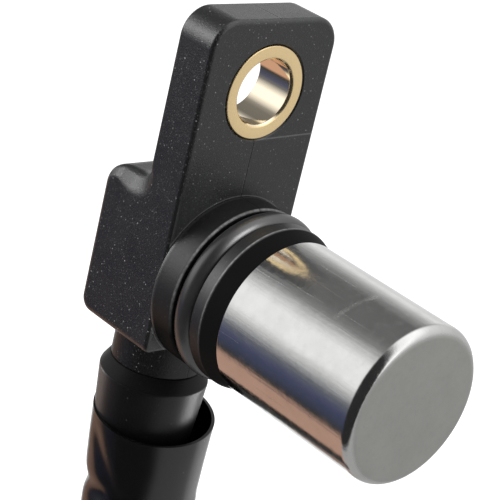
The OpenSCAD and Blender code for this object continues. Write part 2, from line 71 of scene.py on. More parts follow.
TO_METRES = Matrix.Scale(MM, 4)
print("CAD box in mm", [[round(value / MM, 2) for value in corner] for corner in cad_box])

# %% [markdown]
# ## Camera
# A long lens looks down at the nose from the front left, and the camera is rolled, so the
# sensor leans to the right in the picture. The roll is a turn about the camera's own axis,
# after it has been aimed, which keeps the aim and the lean as two separate numbers.

# %% Aim the camera
IMAGE_LONG_SIDE = 500
FOCAL_PIXELS = 1879
SENSOR_SIZE = 36
CAMERA_PLACE = Vector((-125.73, -121.02, 54.27))
CAMERA_TARGET = Vector((1.80, 0.31, -17.24))
CAMERA_ROLL = math.radians(13.5)

lens = bpy.data.cameras.new("photo_camera")
lens.sensor_width = SENSOR_SIZE
lens.lens = FOCAL_PIXELS * SENSOR_SIZE / IMAGE_LONG_SIDE
lens.clip_start = 0.01
camera = bpy.data.objects.new("photo_camera", lens)
bpy.context.scene.collection.objects.link(camera)
aim = (CAMERA_TARGET - CAMERA_PLACE).to_track_quat("-Z", "Y")
camera.location = CAMERA_PLACE * MM
camera.rotation_mode = "QUATERNION"
camera.rotation_quaternion = aim @ Quaternion((0, 0, 1), CAMERA_ROLL)
bpy.context.scene.camera = camera
print("lens", round(lens.lens, 1), "mm")

# %% [markdown]
# ## Sizes from the packed model
# Pieces are drawn in millimetres in the sensor's own frame: the bolt's centre on the mounting
# face is the origin, the nose points along -Y and the lead hangs along -Z. What can be measured
# on the packed solids is measured here, so a changed solid carries its new size over.


# %% Measure the solids
def box_mm(node):
    """Lowest and highest corner of a CAD node."""
    low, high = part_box(node)
    return Vector(low) / MM, Vector(high) / MM


cap_low, cap_high = box_mm("nose_cap")
NOSE_AXIS = Vector((0, 0, (cap_low.z + cap_high.z) / 2))
CAP_RADIUS = (cap_high.x - cap_low.x) / 2
CAP_FRONT = -cap_low.y
CAP_REAR = -cap_high.y

bush_low, bush_high = box_mm("mounting_bush")
BUSH_RADIUS = (bush_high.x - bush_low.x) / 2
BUSH_LENGTH = bush_high.y
BORE_RADIUS = frame["record"]["mounts"][0]["dims"]["r_mm"]

housing_low, housing_high = box_mm("housing")
EAR_TOP = housing_high.z
EAR_HALF = 8.2
BLOCK_DEPTH = 11.3
BLOCK_UP = 9.3
BLOCK_DOWN = 7.5
BLOCK_TOP = NOSE_AXIS.z + BLOCK_UP
BLOCK_BOTTOM = NOSE_AXIS.z - BLOCK_DOWN

# Stations along the nose, counted forwards from the mounting face, and its radii
COLLAR = housing_high.x
COLLAR_TO = 3.05
GROOVE_DEPTH = 2.3
GROOVE = COLLAR - GROOVE_DEPTH
GROOVE_TO = 5.7
LAND = 8.8
LAND_TO = 7.1
print("nose axis at", round(NOSE_AXIS.z, 2), "mm")
print("cap radius", round(CAP_RADIUS, 2), "mm, bore radius", BORE_RADIUS, "mm")

# %% [markdown]
# ## Shader sums
# Node trees are easier to read as sums. This small class wraps one socket, and its operators
# add Math nodes, so `1 - mask` works in either order. Every other node comes from one method,
# which sets the node's own settings first and then fills or links its sockets.


# %% A socket that can be added and multiplied
# The share of its reach over which a mask stays full
FULL_SHARE = 0.3


class Flow:
    """One value on its way through a node tree."""

    def __init__(self, tree, socket=None):
        self.tree = tree
        self.socket = socket

    def node(self, kind, settings=None, inputs=None, output=0):
        """Adds any node: its settings first, then the values or links of its sockets."""
        made = self.tree.nodes.new(kind)
        for name, value in (settings or {}).items():
            if name == "stops":
                set_stops(made.color_ramp, value)
            else:
                setattr(made, name, value)
        for name, value in (inputs or {}).items():
            self.fill(made.inputs[name], value)
        return Flow(self.tree, made.outputs[output])

    def fill(self, socket, value):
        """Links another flow to a socket, or sets a plain value on it."""
        if isinstance(value, Flow):
            self.tree.links.new(value.socket, socket)
        else:
            socket.default_value = value

    def math(self, operation, first, second=0.0):
        return self.node("ShaderNodeMath", {"operation": operation}, {0: first, 1: second})

    def __add__(self, other):
        return self.math("ADD", self, other)

    def __radd__(self, other):
        return self.math("ADD", other, self)

    def __sub__(self, other):
        return self.math("SUBTRACT", self, other)

    def __rsub__(self, other):
        return self.math("SUBTRACT", other, self)

    def __mul__(self, other):
        return self.math("MULTIPLY", self, other)

    def __rmul__(self, other):
        return self.math("MULTIPLY", other, self)

    def __pow__(self, other):
        return self.math("POWER", self, other)

    def __lt__(self, other):
        return self.math("LESS_THAN", self, other)

    def __gt__(self, other):
        return self.math("GREATER_THAN", self, other)

    def __abs__(self):
        return self.math("ABSOLUTE", self)

    def between(self, low, high):
        """A soft step from 0 at low to 1 at high."""
        return self.node(
            "ShaderNodeMapRange",
            {"interpolation_type": "SMOOTHSTEP"},
            {"Value": self, "From Min": low, "From Max": high},
        )

    def near(self, middle, reach):
        """1 at a value, falling to 0 at a reach on either side."""
        return 1 - abs(self - middle).between(reach * FULL_SHARE, reach)

    def colours(self, first, second):
        """Mixes two colours by this value."""
        return self.node("ShaderNodeMix", {"data_type": "RGBA"}, {0: self, 6: first, 7: second}, 2)


def set_stops(ramp, stops):
    """Gives a colour ramp its stops, from (position, colour) pairs."""
    while len(ramp.elements) > 1:
        ramp.elements.remove(ramp.elements[-1])
    for index, (position, colour) in enumerate(sorted(stops)):
        stop = ramp.elements[0] if index == 0 else ramp.elements.new(position)
        stop.position = position
        stop.color = colour


def grey(level):
    return (level, level, level, 1)


print("sums work on", [name for name in vars(Flow) if name.startswith("__r")])

# %% [markdown]
# ## One way to start a finish
# Every finish here is a Principled shader. Values that are the same all over the surface are
# set straight on its sockets, and what changes over the surface is linked. The patterns read
# Object coordinates in millimetres, so a scale of 2 means two features to the millimetre.


# %% Start a finish
# The share of its size at which a speck or a line begins to fade
SOFT_EDGE = 0.4
# The dull black that painted shade is made of
PAINTED_SHADE_BLACK = {"Base Color": grey(0.004), "Roughness": 0.6, "IOR": 1.15}


def start_finish(name, **constants):
    """A material with constant values set. Returns it, its shader and the first flow."""
    material = bpy.data.materials.new(name)
    material.use_nodes = True
    tree = material.node_tree
    shader = tree.nodes["Principled BSDF"]
    for socket, value in constants.items():
        shader.inputs[socket.replace("_", " ")].default_value = value
    return material, shader, Flow(tree)


def millimetres(flow, turn=(0, 0, 0), stretch=(1, 1, 1)):
    """Object coordinates in millimetres, turned or stretched for a pattern."""
    place = flow.node("ShaderNodeTexCoord", output="Object")
    scale = [factor / MM for factor in stretch]
    return flow.node("ShaderNodeMapping", {}, {"Vector": place, "Rotation": turn, "Scale": scale})


def noise(flow, place, scale, detail=2, roughness=0.5):
    """Soft cloudy values from 0 to 1."""
    sockets = {"Vector": place, "Scale": scale, "Detail": detail, "Roughness": roughness}
    return flow.node("ShaderNodeTexNoise", {}, sockets)


def axes(flow, place):
    """The three coordinates of a place, as separate flows."""
    parts = flow.node("ShaderNodeSeparateXYZ", {}, {"Vector": place})
    return [Flow(flow.tree, output) for output in parts.socket.node.outputs]


def specks(flow, place, scale, size, share):
    """Small round specks: the middles of some of a pattern's cells."""
    cells = flow.node("ShaderNodeTexVoronoi", {"feature": "F1"}, {"Vector": place, "Scale": scale})
    cell = Flow(flow.tree, cells.socket.node.outputs["Color"])
    drawn = flow.node("ShaderNodeTexWhiteNoise", {}, {"Vector": cell}, "Color")
    chance, strength, _ = axes(flow, drawn)
    return (1 - cells.between(size * SOFT_EDGE, size)) * (chance < share) * strength


def near_line(flow, place, start, end, width):
    """1 on the straight line between two places, falling to 0 at a width beside it."""
    start, run = Vector(start), Vector(end) - Vector(start)
    vector = "ShaderNodeVectorMath"
    away = flow.node(vector, {"operation": "SUBTRACT"}, {0: place, 1: start})
    along = {0: away, 1: run / run.length_squared}
    share = flow.node(vector, {"operation": "DOT_PRODUCT"}, along, "Value")
    share = flow.node("ShaderNodeClamp", {}, {"Value": share})
    reached = flow.node(vector, {"operation": "SCALE"}, {0: run, "Scale": share})
    gap = flow.node(vector, {"operation": "DISTANCE"}, {0: away, 1: reached}, "Value")
    return 1 - gap.between(width * SOFT_EDGE, width)


def bump(flow, shader, height, distance, strength=1.0):
    """Feeds a height in millimetres to the shader's normal."""
    sockets = {"Height": height, "Distance": distance * MM, "Strength": strength}
    flow.fill(shader.inputs["Normal"], flow.node("ShaderNodeBump", {}, sockets))


def shade_over(flow, shader, mask):
    """Swaps a shader for a dull black where a mask is 1: painted shade."""
    dull = flow.node("ShaderNodeBsdfPrincipled", {}, PAINTED_SHADE_BLACK)
    gloss = Flow(flow.tree, shader.outputs["BSDF"])
    mixed = flow.node("ShaderNodeMixShader", {}, {0: mask, 1: gloss, 2: dull})
    flow.fill(flow.tree.nodes["Material Output"].inputs["Surface"], mixed)


def tinted(tint, factor):
    """A tint made lighter or darker, as a full colour."""
    return [factor * part for part in tint] + [1]


print("finishes start from a Principled shader")

# %% [markdown]
# ## Black mouldings
# The housing is glass-filled nylon: nearly black, satin, with a fine grain and a cloudy gloss.
# Pale dust lies on the ear and the block, and the nose is cleaner. A faint pale film beside the
# collar's foot is painted light. Where the collar and the land have rubbed in their hole, their
# front edges show pale scuffs, with a painted highlight on the upper half. Lines from the mould
# show on the middle plane, beside the bush and round the collar's foot. A dull black shader is
# painted shade in front of the land, under the nose, on the collar and on the outlet.

# %% Satin black with grain and dust
DUST = (0.50, 0.51, 0.50, 1)
# Pale scuffs and mould lines, with a painted highlight on the upper edges
PALE_MARK_AND_HIGHLIGHT = (0.42, 0.42, 0.42, 1)


def satin_black(name, tint, gloss):
    """The plain moulding: returns its material, shader, flow, place and the parts of its look."""
    material, shader, flow = start_finish(name, IOR=1.7)
    place = millimetres(flow)
    cloud = noise(flow, place, 0.35, 4)
    grain = noise(flow, place, 6, 3, 0.6)
    coarse = specks(flow, place, 2.6, 0.24, 0.36) * noise(flow, place, 0.7, 3).between(0.20, 0.60)
    fine = specks(flow, place, 5.5, 0.45, 0.40)
    dust = coarse * 1.3 + fine * 0.22
    colour = cloud.colours(tinted(tint, 0.7), tinted(tint, 1.3))
    rough = gloss + (cloud - 0.5) * 0.10 + (grain - 0.5) * 0.20
    return material, shader, flow, place, colour, rough, dust, grain


def connector_black(name, tint, gloss):
    """The connector's moulding, with a little dust."""
    material, shader, flow, place, colour, rough, dust, grain = satin_black(name, tint, gloss)
    flow.fill(shader.inputs["Base Color"], (dust * 0.08).colours(colour, DUST))
    flow.fill(shader.inputs["Roughness"], rough + dust * 0.1)
    bump(flow, shader, grain * 0.6 + dust * 0.3, 0.03)
    return material


CONNECTOR_TINT = (0.010, 0.010, 0.011)
connector_finish = connector_black("connector_moulding", CONNECTOR_TINT, 0.34)
print("plain moulding", connector_finish.name)

# %% The housing's own lines and wear, with painted light and shade
FACE_REACH = 0.1
CLEAN_NOSE = 0.5
SEAM_REACH = 0.09
SEAM_BLACK = grey(0.002)
WITNESS_START = (0, 0, -4.95)
WITNESS_END = (EAR_HALF, 0, -4.75)
WITNESS_REACH = 0.12
FOOT_GAP = 0.12
FOOT_REACH = 0.09
COLLAR_EDGE_REACH = 0.30
LAND_EDGE_REACH = 0.13
OUTLET_CLEAN = (-4.5, -2.5)
# Reach and side of a pale film by the collar's foot that is painted light
PAINTED_LIGHT_REACH = 5
PAINTED_LIGHT_SIDE = (-7, 1)


def housing_black(name, tint, gloss):
    """The housing's moulding, with mould lines, pale edge scuffs, dust off the nose, and painted
    light and shade.
    """
    material, shader, flow, place, colour, rough, dust, grain = satin_black(name, tint, gloss)
    x, y, z = axes(flow, place)
    above = z - NOSE_AXIS.z
    radius = (x * x + above * above) ** 0.5
    ahead = -1 * y
    on_nose = ahead.between(FACE_REACH, CLEAN_NOSE)
    on_face = (1 - on_nose) * (ahead > -FACE_REACH)
    on_collar = on_nose * (ahead < COLLAR_TO + FACE_REACH)
    on_outlet = z < BLOCK_BOTTOM
    over_bush = (ahead > -2 * FACE_REACH) * (z > -BUSH_RADIUS)
    # Lines from the mould
    seam = x.near(0, SEAM_REACH) * (1 - over_bush)
    witness = near_line(flow, place, WITNESS_START, WITNESS_END, WITNESS_REACH)
    foot = radius.near(COLLAR + FOOT_GAP, FOOT_REACH) * on_face
    # Pale scuffs on the two front edges; their extra strength on the upper half is a painted
    # highlight
    upper = above.between(-COLLAR * 0.3, COLLAR * 0.7)
    scratch = (0.5 + noise(flow, place, 2.5, 4).between(0.35, 0.70) * 0.5) * (0.2 + upper * 0.8)
    collar_edge = ahead.near(COLLAR_TO, COLLAR_EDGE_REACH) * radius.near(COLLAR, COLLAR_EDGE_REACH)
    land_edge = ahead.near(LAND_TO, LAND_EDGE_REACH) * radius.near(LAND, LAND_EDGE_REACH)
    pale_marks_and_highlight = (collar_edge * 0.85 + land_edge * 0.4) * scratch + (witness + foot) * 0.15
    # Dust, and a faint pale film beside the collar on the left that is painted light
    cleaned = (1 - on_nose * 0.75) * (1 - on_outlet * x.between(*OUTLET_CLEAN) * 0.85)
    pale = dust * cleaned
    by_collar = 1 - radius.between(COLLAR, COLLAR + PAINTED_LIGHT_REACH)
    painted_light_film = by_collar * (1 - x.between(*PAINTED_LIGHT_SIDE)) * on_face
    dusty_and_lit = (pale * 0.36 + painted_light_film * 0.035).colours(colour, DUST)
    pale_marked_and_highlit = pale_marks_and_highlight.colours(dusty_and_lit, PALE_MARK_AND_HIGHLIGHT)
    flow.fill(shader.inputs["Base Color"], (seam * 0.8).colours(pale_marked_and_highlit, SEAM_BLACK))
    flow.fill(shader.inputs["Roughness"], rough + on_nose * 0.10 + pale * 0.2 + pale_marks_and_highlight * 0.2)
    bump(flow, shader, grain * (0.7 - on_nose * 0.5) + pale * 0.2 - seam * 1.5, 0.04)
    # Painted shade: a dull black shader mixed in front of the land, under the nose, on the collar
    # and on the outlet
    deep = ahead.between(LAND_TO + 0.08, LAND_TO + 0.3)
    below = on_nose * (1 - above.between(-5, -0.5))
    collar_and_outlet_painted_shade = on_nose * 0.12 + on_collar * 0.32 + on_outlet * 0.4
    shade_over(flow, shader, deep + below * 0.7 + collar_and_outlet_painted_shade)
    return material


HOUSING_TINT = (0.0062, 0.0064, 0.0072)
housing_finish = housing_black("housing_moulding_black", HOUSING_TINT, 0.34)
print("housing moulding", housing_finish.name)

# %% [markdown]
# ## Metals
# The cap is deep-drawn stainless steel: its wall is polished, with faint streaks along the
# draw and a few fine scratches, and its flat end is matt. The bush is turned brass: rings from
# the lathe on its face, and a polished bore whose pale colour is a painted reflection. Both are
# one metal with a roughness that depends on where the point lies, so no second material is needed.

# %% Steel cap
SCRATCH_START = (-5.09, -20.2, -13.52)
SCRATCH_END = (-1.15, -20.71, -11.86)
STEEL_WALL = (0.64, 0.64, 0.63)
STEEL_END = (0.485, 0.49, 0.465)


def polished_steel(name):
    """Bright drawn wall, matt end face, fine scratches."""
    material, shader, flow = start_finish(name, Metallic=1.0, IOR=2.5)
    place = millimetres(flow)
    end_face = 1 - axes(flow, place)[1].between(-CAP_FRONT, -CAP_FRONT + 0.2)
    streaks = noise(flow, millimetres(flow, stretch=(1, 0.05, 1)), 4, 3)
    cloud = noise(flow, place, 0.45, 4)
    grain = noise(flow, place, 14, 2)
    turned_place = millimetres(flow, turn=(0.3, 0.9, 0.5), stretch=(1, 0.03, 1))
    hairs = noise(flow, turned_place, 3.2, 1).between(0.70, 0.74)
    scratch = near_line(flow, place, SCRATCH_START, SCRATCH_END, 0.45)
    wall = cloud.colours(tinted(STEEL_WALL, 0.88), tinted(STEEL_WALL, 1.10))
    end = cloud.colours(tinted(STEEL_END, 0.94), tinted(STEEL_END, 1.10))
    flow.fill(shader.inputs["Base Color"], end_face.colours(wall, end))
    blotch = noise(flow, place, 1.3, 5, 0.65)
    marks = blotch.between(0.4, 0.8) * 0.12 + hairs * 0.12 + scratch * 0.15
    wall_rough = 0.06 + streaks * 0.08 + marks
    flow.fill(shader.inputs["Roughness"], wall_rough + end_face * (0.36 + (grain - 0.5) * 0.2))
    wall_height = streaks * 0.8 + blotch * 2 + hairs * 0.4 + scratch * 0.4
    bump(flow, shader, wall_height * (1 - end_face) + grain * end_face, 0.006)
    return material


cap_finish = polished_steel("cap_polished_steel")
print("cap", cap_finish.name)

# %% Brass bush
BRASS_DULL = (0.95, 0.70, 0.37, 1)
BRASS_PALE = (1.00, 0.80, 0.46, 1)
# The bore's pale colour is a painted reflection of the pale surround
BORE_PALE_REFLECTION = (0.97, 0.86, 0.67, 1)


def turned_brass(name):
    """Satin face with lathe rings, polished bore with a painted pale reflection."""
    material, shader, flow = start_finish(name, Metallic=1.0)
    place = millimetres(flow)
    x, y, z = axes(flow, place)
    radius = (x * x + z * z) ** 0.5
    bore = 1 - radius.between(BORE_RADIUS + 0.05, BORE_RADIUS + 0.22)
    rings = noise(flow, flow.node("ShaderNodeCombineXYZ", {}, {"X": radius}), 14, 2)
    grain = noise(flow, place, 6, 3)
    lines = noise(flow, millimetres(flow, stretch=(1, 0.05, 1)), 5, 2)
    face = grain.colours(BRASS_DULL, BRASS_PALE)
    flow.fill(shader.inputs["Base Color"], bore.colours(face, BORE_PALE_REFLECTION))
    face_rough = 0.34 + (rings - 0.5) * 0.2 + (grain - 0.5) * 0.1
    flow.fill(shader.inputs["Roughness"], face_rough * (1 - bore) + bore * (0.05 + lines * 0.06))
    bump(flow, shader, rings * (1 - bore) * 0.6 + grain * 0.2, 0.01)
    return material


bush_finish = turned_brass("bush_turned_brass")
print("bush", round(2 * BUSH_RADIUS, 2), "x", round(BUSH_LENGTH, 2), "mm")

# %% [markdown]
# ## Rubber and the tube
# The seal ring is smooth and oily, the boot is duller, and the tube over the lead is a thin
# glossy plastic. All three are nearly black, so their gloss does most of the work. The boot's
# shoulder has painted shade.


# %% Rubber and glossy plastic
def soft_black(name, tint, gloss, index, grain_height, dust_share, painted_shade_above=None):
    """Nearly black and soft, with a little dust. It can have painted shade above a height."""
    material, shader, flow = start_finish(name, IOR=index)
    place = millimetres(flow)
    cloud = noise(flow, place, 0.5, 3)
    grain = noise(flow, place, 5, 3)
    dust = specks(flow, place, 2.0, 0.16, dust_share)
    colour = cloud.colours(tinted(tint, 0.7), tinted(tint, 1.3))
    flow.fill(shader.inputs["Base Color"], (dust * 0.14).colours(colour, DUST))
    flow.fill(shader.inputs["Roughness"], gloss + (cloud - 0.5) * 0.12 + dust * 0.2)
    bump(flow, shader, grain + dust * 0.5, grain_height)
    # Painted shade: a dull black shader over what lies above the height
    if painted_shade_above is not None:
        shade_over(flow, shader, (axes(flow, place)[2] > painted_shade_above) * 0.75)
    return material


seal_finish = soft_black("seal_ring_black", (0.014, 0.014, 0.0145), 0.32, 1.9, 0.003, 0.08)
BOOT_SHOULDER = 1.5
boot_shade_height = box_mm("cable_boot")[1].z - BOOT_SHOULDER
boot_finish = soft_black("boot_black", (0.0028, 0.0028, 0.0029), 0.38, 1.5, 0.008, 0.18, boot_shade_height)
tube_finish = soft_black("tube_black", (0.002, 0.002, 0.0021), 0.24, 1.7, 0.003, 0.06)
print("rubber finishes", seal_finish.name, boot_finish.name, tube_finish.name)

# %% [markdown]
# ## Modelling helpers
# Round pieces are half sections that are spun about an axis. A section starts as a flat face
# with a few corners, each corner is rounded with a vertex bevel, and then the face is dropped
# and its outline spun. Other pieces start as a side view that is pulled out. Pieces are drawn
# in millimetres and brought to metres at the end, so that each object sits at the origin.

# %% Spin a half section, pull out a side view
WELD = 0.002
NEAR = 0.01
ROUND_STEPS = 5
TURN_STEPS = 128
FORWARDS = Matrix.Translation(NOSE_AXIS) @ Matrix.Rotation(math.radians(90), 4, "X")
INTO_EAR = Matrix.Rotation(math.radians(-90), 4, "X")


def clean(form):
    """Welds doubled points and turns all faces outwards."""
    bmesh.ops.remove_doubles(form, verts=form.verts[:], dist=WELD)
    bmesh.ops.recalc_face_normals(form, faces=form.faces[:])


def bevel(form, geometry, radius, steps=ROUND_STEPS, affect="EDGES"):
    """Rounds edges or corners with a true arc."""
    bmesh.ops.bevel(
        form,
        geom=geometry,
        offset=radius,
        offset_type="OFFSET",
        affect=affect,
        segments=steps,
        profile=0.5,
        material=-1,
    )


def spin(form, steps=TURN_STEPS):
    """Turns an outline once round the height axis and closes it."""
    bmesh.ops.spin(
        form,
        geom=form.verts[:] + form.edges[:],
        axis=(0, 0, 1),
        angle=2 * math.pi,
        steps=steps,
        use_merge=True,
    )
    clean(form)


def turned(corners, place, steps=TURN_STEPS):
    """Spins a section of (radius, height, rounding) corners about the height axis."""
    form = bmesh.new()
    points = [form.verts.new((radius, 0, height)) for radius, height, _ in corners]
    form.faces.new(points)
    for point, corner in zip(points, corners):
        if corner[2]:
            bevel(form, [point], corner[2], affect="VERTICES")
    bmesh.ops.delete(form, geom=form.faces[:], context="FACES_ONLY")
    on_axis = [edge for edge in form.edges if all(point.co.x < WELD for point in edge.verts)]
    bmesh.ops.delete(form, geom=on_axis, context="EDGES")
    spin(form, steps)
    bmesh.ops.transform(form, matrix=place, verts=form.verts[:])
    return form


def new_points(grown):
    """The points among the geometry that an extrusion returns."""
    return [part for part in grown["geom"] if isinstance(part, bmesh.types.BMVert)]


def pulled(side_view, start, width):
    """A side view of (y, z) corners, pulled out to a width."""
    form = bmesh.new()
    face = form.faces.new([form.verts.new((start, y, z)) for y, z in side_view])
    moved = new_points(bmesh.ops.extrude_face_region(form, geom=[face]))
    bmesh.ops.translate(form, vec=(width, 0, 0), verts=moved)
    clean(form)
    return form


print("round pieces have", TURN_STEPS, "sides")

# %% [markdown]
# ## From a mesh to a piece
# A finished mesh becomes an object that rides on the sensor's one body and stands for its CAD
# node. Shading is smooth up to a set angle, so crisp edges stay crisp. A weighted-normal
# modifier keeps the flat faces flat beside their rounded edges.


# %% Make a piece
def loose_object(name, form):
    """A mesh object in millimetres, not yet a piece."""
    mesh = bpy.data.meshes.new(name)
    form.to_mesh(mesh)
    form.free()
    made = bpy.data.objects.new(name, mesh)
    bpy.context.scene.collection.objects.link(made)
    return made


def settle(made):
    """Turns an object's modifiers into its mesh."""
    depsgraph = bpy.context.evaluated_depsgraph_get()
    mesh = bpy.data.meshes.new_from_object(made.evaluated_get(depsgraph))
    made.modifiers.clear()
    made.data = mesh


def carve(made, form, operation):
    """Joins a form to an object, or cuts it out."""
    tool = loose_object("tool", form)
    step = made.modifiers.new("carve", "BOOLEAN")
    step.operation = operation
    step.solver = "EXACT"
    step.object = tool
    settle(made)
    bpy.data.objects.remove(tool)


def dress(made, finish, node, crease=32):
    """Brings an object to metres, gives it its finish and its shading, and hides its CAD node."""
    mesh = made.data
    mesh.transform(TO_METRES)
    mesh.materials.clear()
    mesh.materials.append(finish)
    mesh.shade_smooth()
    mesh.set_sharp_from_angle(angle=math.radians(crease))
    made.modifiers.new("flat_faces", "WEIGHTED_NORMAL").keep_sharp = True
    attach(made, BODY)
    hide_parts(node)
    print(made.name, len(mesh.polygons), "faces")
    return made


print("every piece rides on", BODY)

# %% [markdown]
# ## Ear and block
# The ear and the block behind it are one moulding. It starts as a side view that is pulled out
# to the full width. Its large radii are bevelled one by one, and the small edges are left to a
# bevel modifier that reads a weight from every edge: crisp round the front and on the ear's
# back, wider round the block, with the hollow running from one to the other.

# %% Ear and block
EAR_CORNER = 3.0
HOLLOW = 2.6
BACK_TOP = 2.6
BACK_BOTTOM = 1.6
FRONT_EDGE = 0.5
REAR_EDGE = 0.4
BLOCK_EDGE = 0.9
CORNER_STEPS = 14
HOLLOW_STEPS = 10
BACK_STEPS = 12
BOTTOM_STEPS = 8
EDGE_STEPS = 6
SHARP_ANGLE = math.radians(40)


def edges_at(form, **wanted):
    """Edges whose two ends both lie at the wanted coordinates."""
    def lies_there(point):
        return all(abs(getattr(point.co, axis) - value) < NEAR for axis, value in wanted.items())

    return [edge for edge in form.edges if all(lies_there(end) for end in edge.verts)]


def edge_radius(edge):
    """The rounding of one sharp edge of the ear and block."""
    middle = (edge.verts[0].co + edge.verts[1].co) / 2
    if middle.y < NEAR:
        return FRONT_EDGE
    up = min(max((middle.z - BLOCK_TOP) / HOLLOW, 0), 1)
    return BLOCK_EDGE + (REAR_EDGE - BLOCK_EDGE) * up


def ear_and_block():
    """The moulding's main body, with its edges rounded."""
    side_view = [
        (0, BLOCK_BOTTOM),
        (0, EAR_TOP),
        (BUSH_LENGTH, EAR_TOP),
        (BUSH_LENGTH, BLOCK_TOP),
        (BLOCK_DEPTH, BLOCK_TOP),
        (BLOCK_DEPTH, BLOCK_BOTTOM),
    ]
    form = pulled(side_view, -EAR_HALF, 2 * EAR_HALF)
    for side in (-EAR_HALF, EAR_HALF):
        bevel(form, edges_at(form, x=side, z=EAR_TOP), EAR_CORNER, CORNER_STEPS)
    bevel(form, edges_at(form, y=BUSH_LENGTH, z=BLOCK_TOP), HOLLOW, HOLLOW_STEPS)
    bevel(form, edges_at(form, y=BLOCK_DEPTH, z=BLOCK_TOP), BACK_TOP, BACK_STEPS)
    bevel(form, edges_at(form, y=BLOCK_DEPTH, z=BLOCK_BOTTOM), BACK_BOTTOM, BOTTOM_STEPS)
    weights = form.edges.layers.float.new("bevel_weight_edge")
    for edge in form.edges:
        if edge.calc_face_angle() > SHARP_ANGLE:
            edge[weights] = edge_radius(edge) / BLOCK_EDGE
    made = loose_object("housing_moulding", form)
    rounding = made.modifiers.new("small_edges", "BEVEL")
    rounding.limit_method = "WEIGHT"
    rounding.width = BLOCK_EDGE
    rounding.segments = EDGE_STEPS
    rounding.use_clamp_overlap = False
    rounding.loop_slide = False
    settle(made)
    return made


moulding = ear_and_block()
print("ear and block", len(moulding.data.polygons), "faces")

# %% [markdown]
# ## Shoulders
# The block's top side edges have a wide rounding that runs out in the hollow like a spoon. A
# bevel can't change its width that fast, so the waste of each edge is made as a solid and cut
# away. A face is extruded from section to section, along the block's top from its back to the
# ear, and the faces that are left inside are deleted. In each section the waste is a corner
# less a bend at the side, a leaning flat and a bend on top, and its size depends on the place
# along the way.

# %% Sections of a shoulder
SHOULDER = 2.8
SHOULDER_START = 0.8
SHOULDER_END = 0.3
SHOULDER_PEAK = 0.70
BEND_WAY = 0.44
LEAN = math.radians(27)
SIDE_BEND = 0.7
FLAT = 0.4
TOP_BEND = 0.45
LOFT_STEPS = 16
ARC_STEPS = 6
CLEAR = 0.5


def shoulder_size(way):
    """The shoulder's size along its way, from 0 at the back to 1 at the ear."""
    if way < SHOULDER_PEAK:
        rise = way / SHOULDER_PEAK
        eased = rise * (1 + 3 * rise - 2 * rise * rise) / 2
        return SHOULDER_START + (SHOULDER - SHOULDER_START) * eased
    fall = (way - SHOULDER_PEAK) / (1 - SHOULDER_PEAK)
    return SHOULDER_END + (SHOULDER - SHOULDER_END) * (0.5 + 0.5 * math.cos(math.pi * fall))


def top_stations():
    """Places along the block's top: a point, its outward normal and the shoulder's size."""
    back = Vector((0, BLOCK_DEPTH - BACK_TOP, BLOCK_TOP - BACK_TOP))
    hollow = Vector((0, BUSH_LENGTH + HOLLOW, BLOCK_TOP + HOLLOW))
    shares = [step / LOFT_STEPS for step in range(LOFT_STEPS + 1)]
    stations = []
    for share in shares:
        out = Vector((0, math.cos(share * math.pi / 2), math.sin(share * math.pi / 2)))
        stations.append((back + out * BACK_TOP, out, shoulder_size(share * BEND_WAY)))
    for share in shares:
        out = Vector((0, math.sin(share * math.pi / 2), math.cos(share * math.pi / 2)))
        stations.append((hollow - out * HOLLOW, out, shoulder_size(1 - (1 - share) * BEND_WAY)))
    return stations


def shoulder_section(size):
    """The corner's new outline, from the side to the top, as steps inwards and up."""
    side_bend, top_bend = size * SIDE_BEND, size * TOP_BEND
    points = []
    for step in range(ARC_STEPS + 1):
        turn = LEAN * step / ARC_STEPS
        points.append((side_bend * (math.cos(turn) - 1), side_bend * math.sin(turn)))
    low_u = points[-1][0] - size * FLAT * math.sin(LEAN)
    low_v = points[-1][1] + size * FLAT * math.cos(LEAN)
    for step in range(ARC_STEPS + 1):
        turn = LEAN + (math.pi / 2 - LEAN) * step / ARC_STEPS
        inwards = top_bend * (math.cos(LEAN) - math.cos(turn))
        upwards = top_bend * (math.sin(turn) - math.sin(LEAN))
        points.append((low_u - inwards, low_v + upwards))
    top = points[-1][1]
    return [(u, v - top) for u, v in points]


print("shoulder is", SHOULDER, "at its widest, on", 2 * LOFT_STEPS + 2, "sections")


# %% Shoulders
def waste_sections(side):
    """The waste's outline at every station of one shoulder."""
    across = Vector((side, 0, 0))
    for place, out, size in top_stations():
        cut = shoulder_section(size)
        outline = [(CLEAR, CLEAR), (CLEAR, cut[0][1])] + cut + [(cut[-1][0], CLEAR)]
        corner = place + across * EAR_HALF
        yield [corner + across * u + out * v for u, v in outline]


def shoulder_waste(side):
    """The waste of one shoulder: a face extruded from section to section."""
    form = bmesh.new()
    first, *others = waste_sections(side)
    faces = [form.faces.new([form.verts.new(place) for place in first])]
    for section in others:
        grown = bmesh.ops.extrude_face_region(form, geom=faces[-1:])
        faces += [part for part in grown["geom"] if isinstance(part, bmesh.types.BMFace)]
        for point, place in zip(faces[-1].verts, section):
            point.co = place
    bmesh.ops.delete(form, geom=faces[1:-1], context="FACES_ONLY")
    bmesh.ops.recalc_face_normals(form, faces=form.faces[:])
    return form


for side in (-1, 1):
    carve(moulding, shoulder_waste(side), "DIFFERENCE")
print("with shoulders", len(moulding.data.polygons), "faces")

# %% [markdown]
# ## Nose, outlet and holes
# The nose is one spun section: a collar, the seal groove, a sharp-edged land, a tapered neck
# and the core inside the cap, hollow for the coil. The outlet is spun about the lead. Exact
# booleans weld both to the block and cut the bush seat and the wire bore, so the housing is
# one closed skin, as the real moulding is.

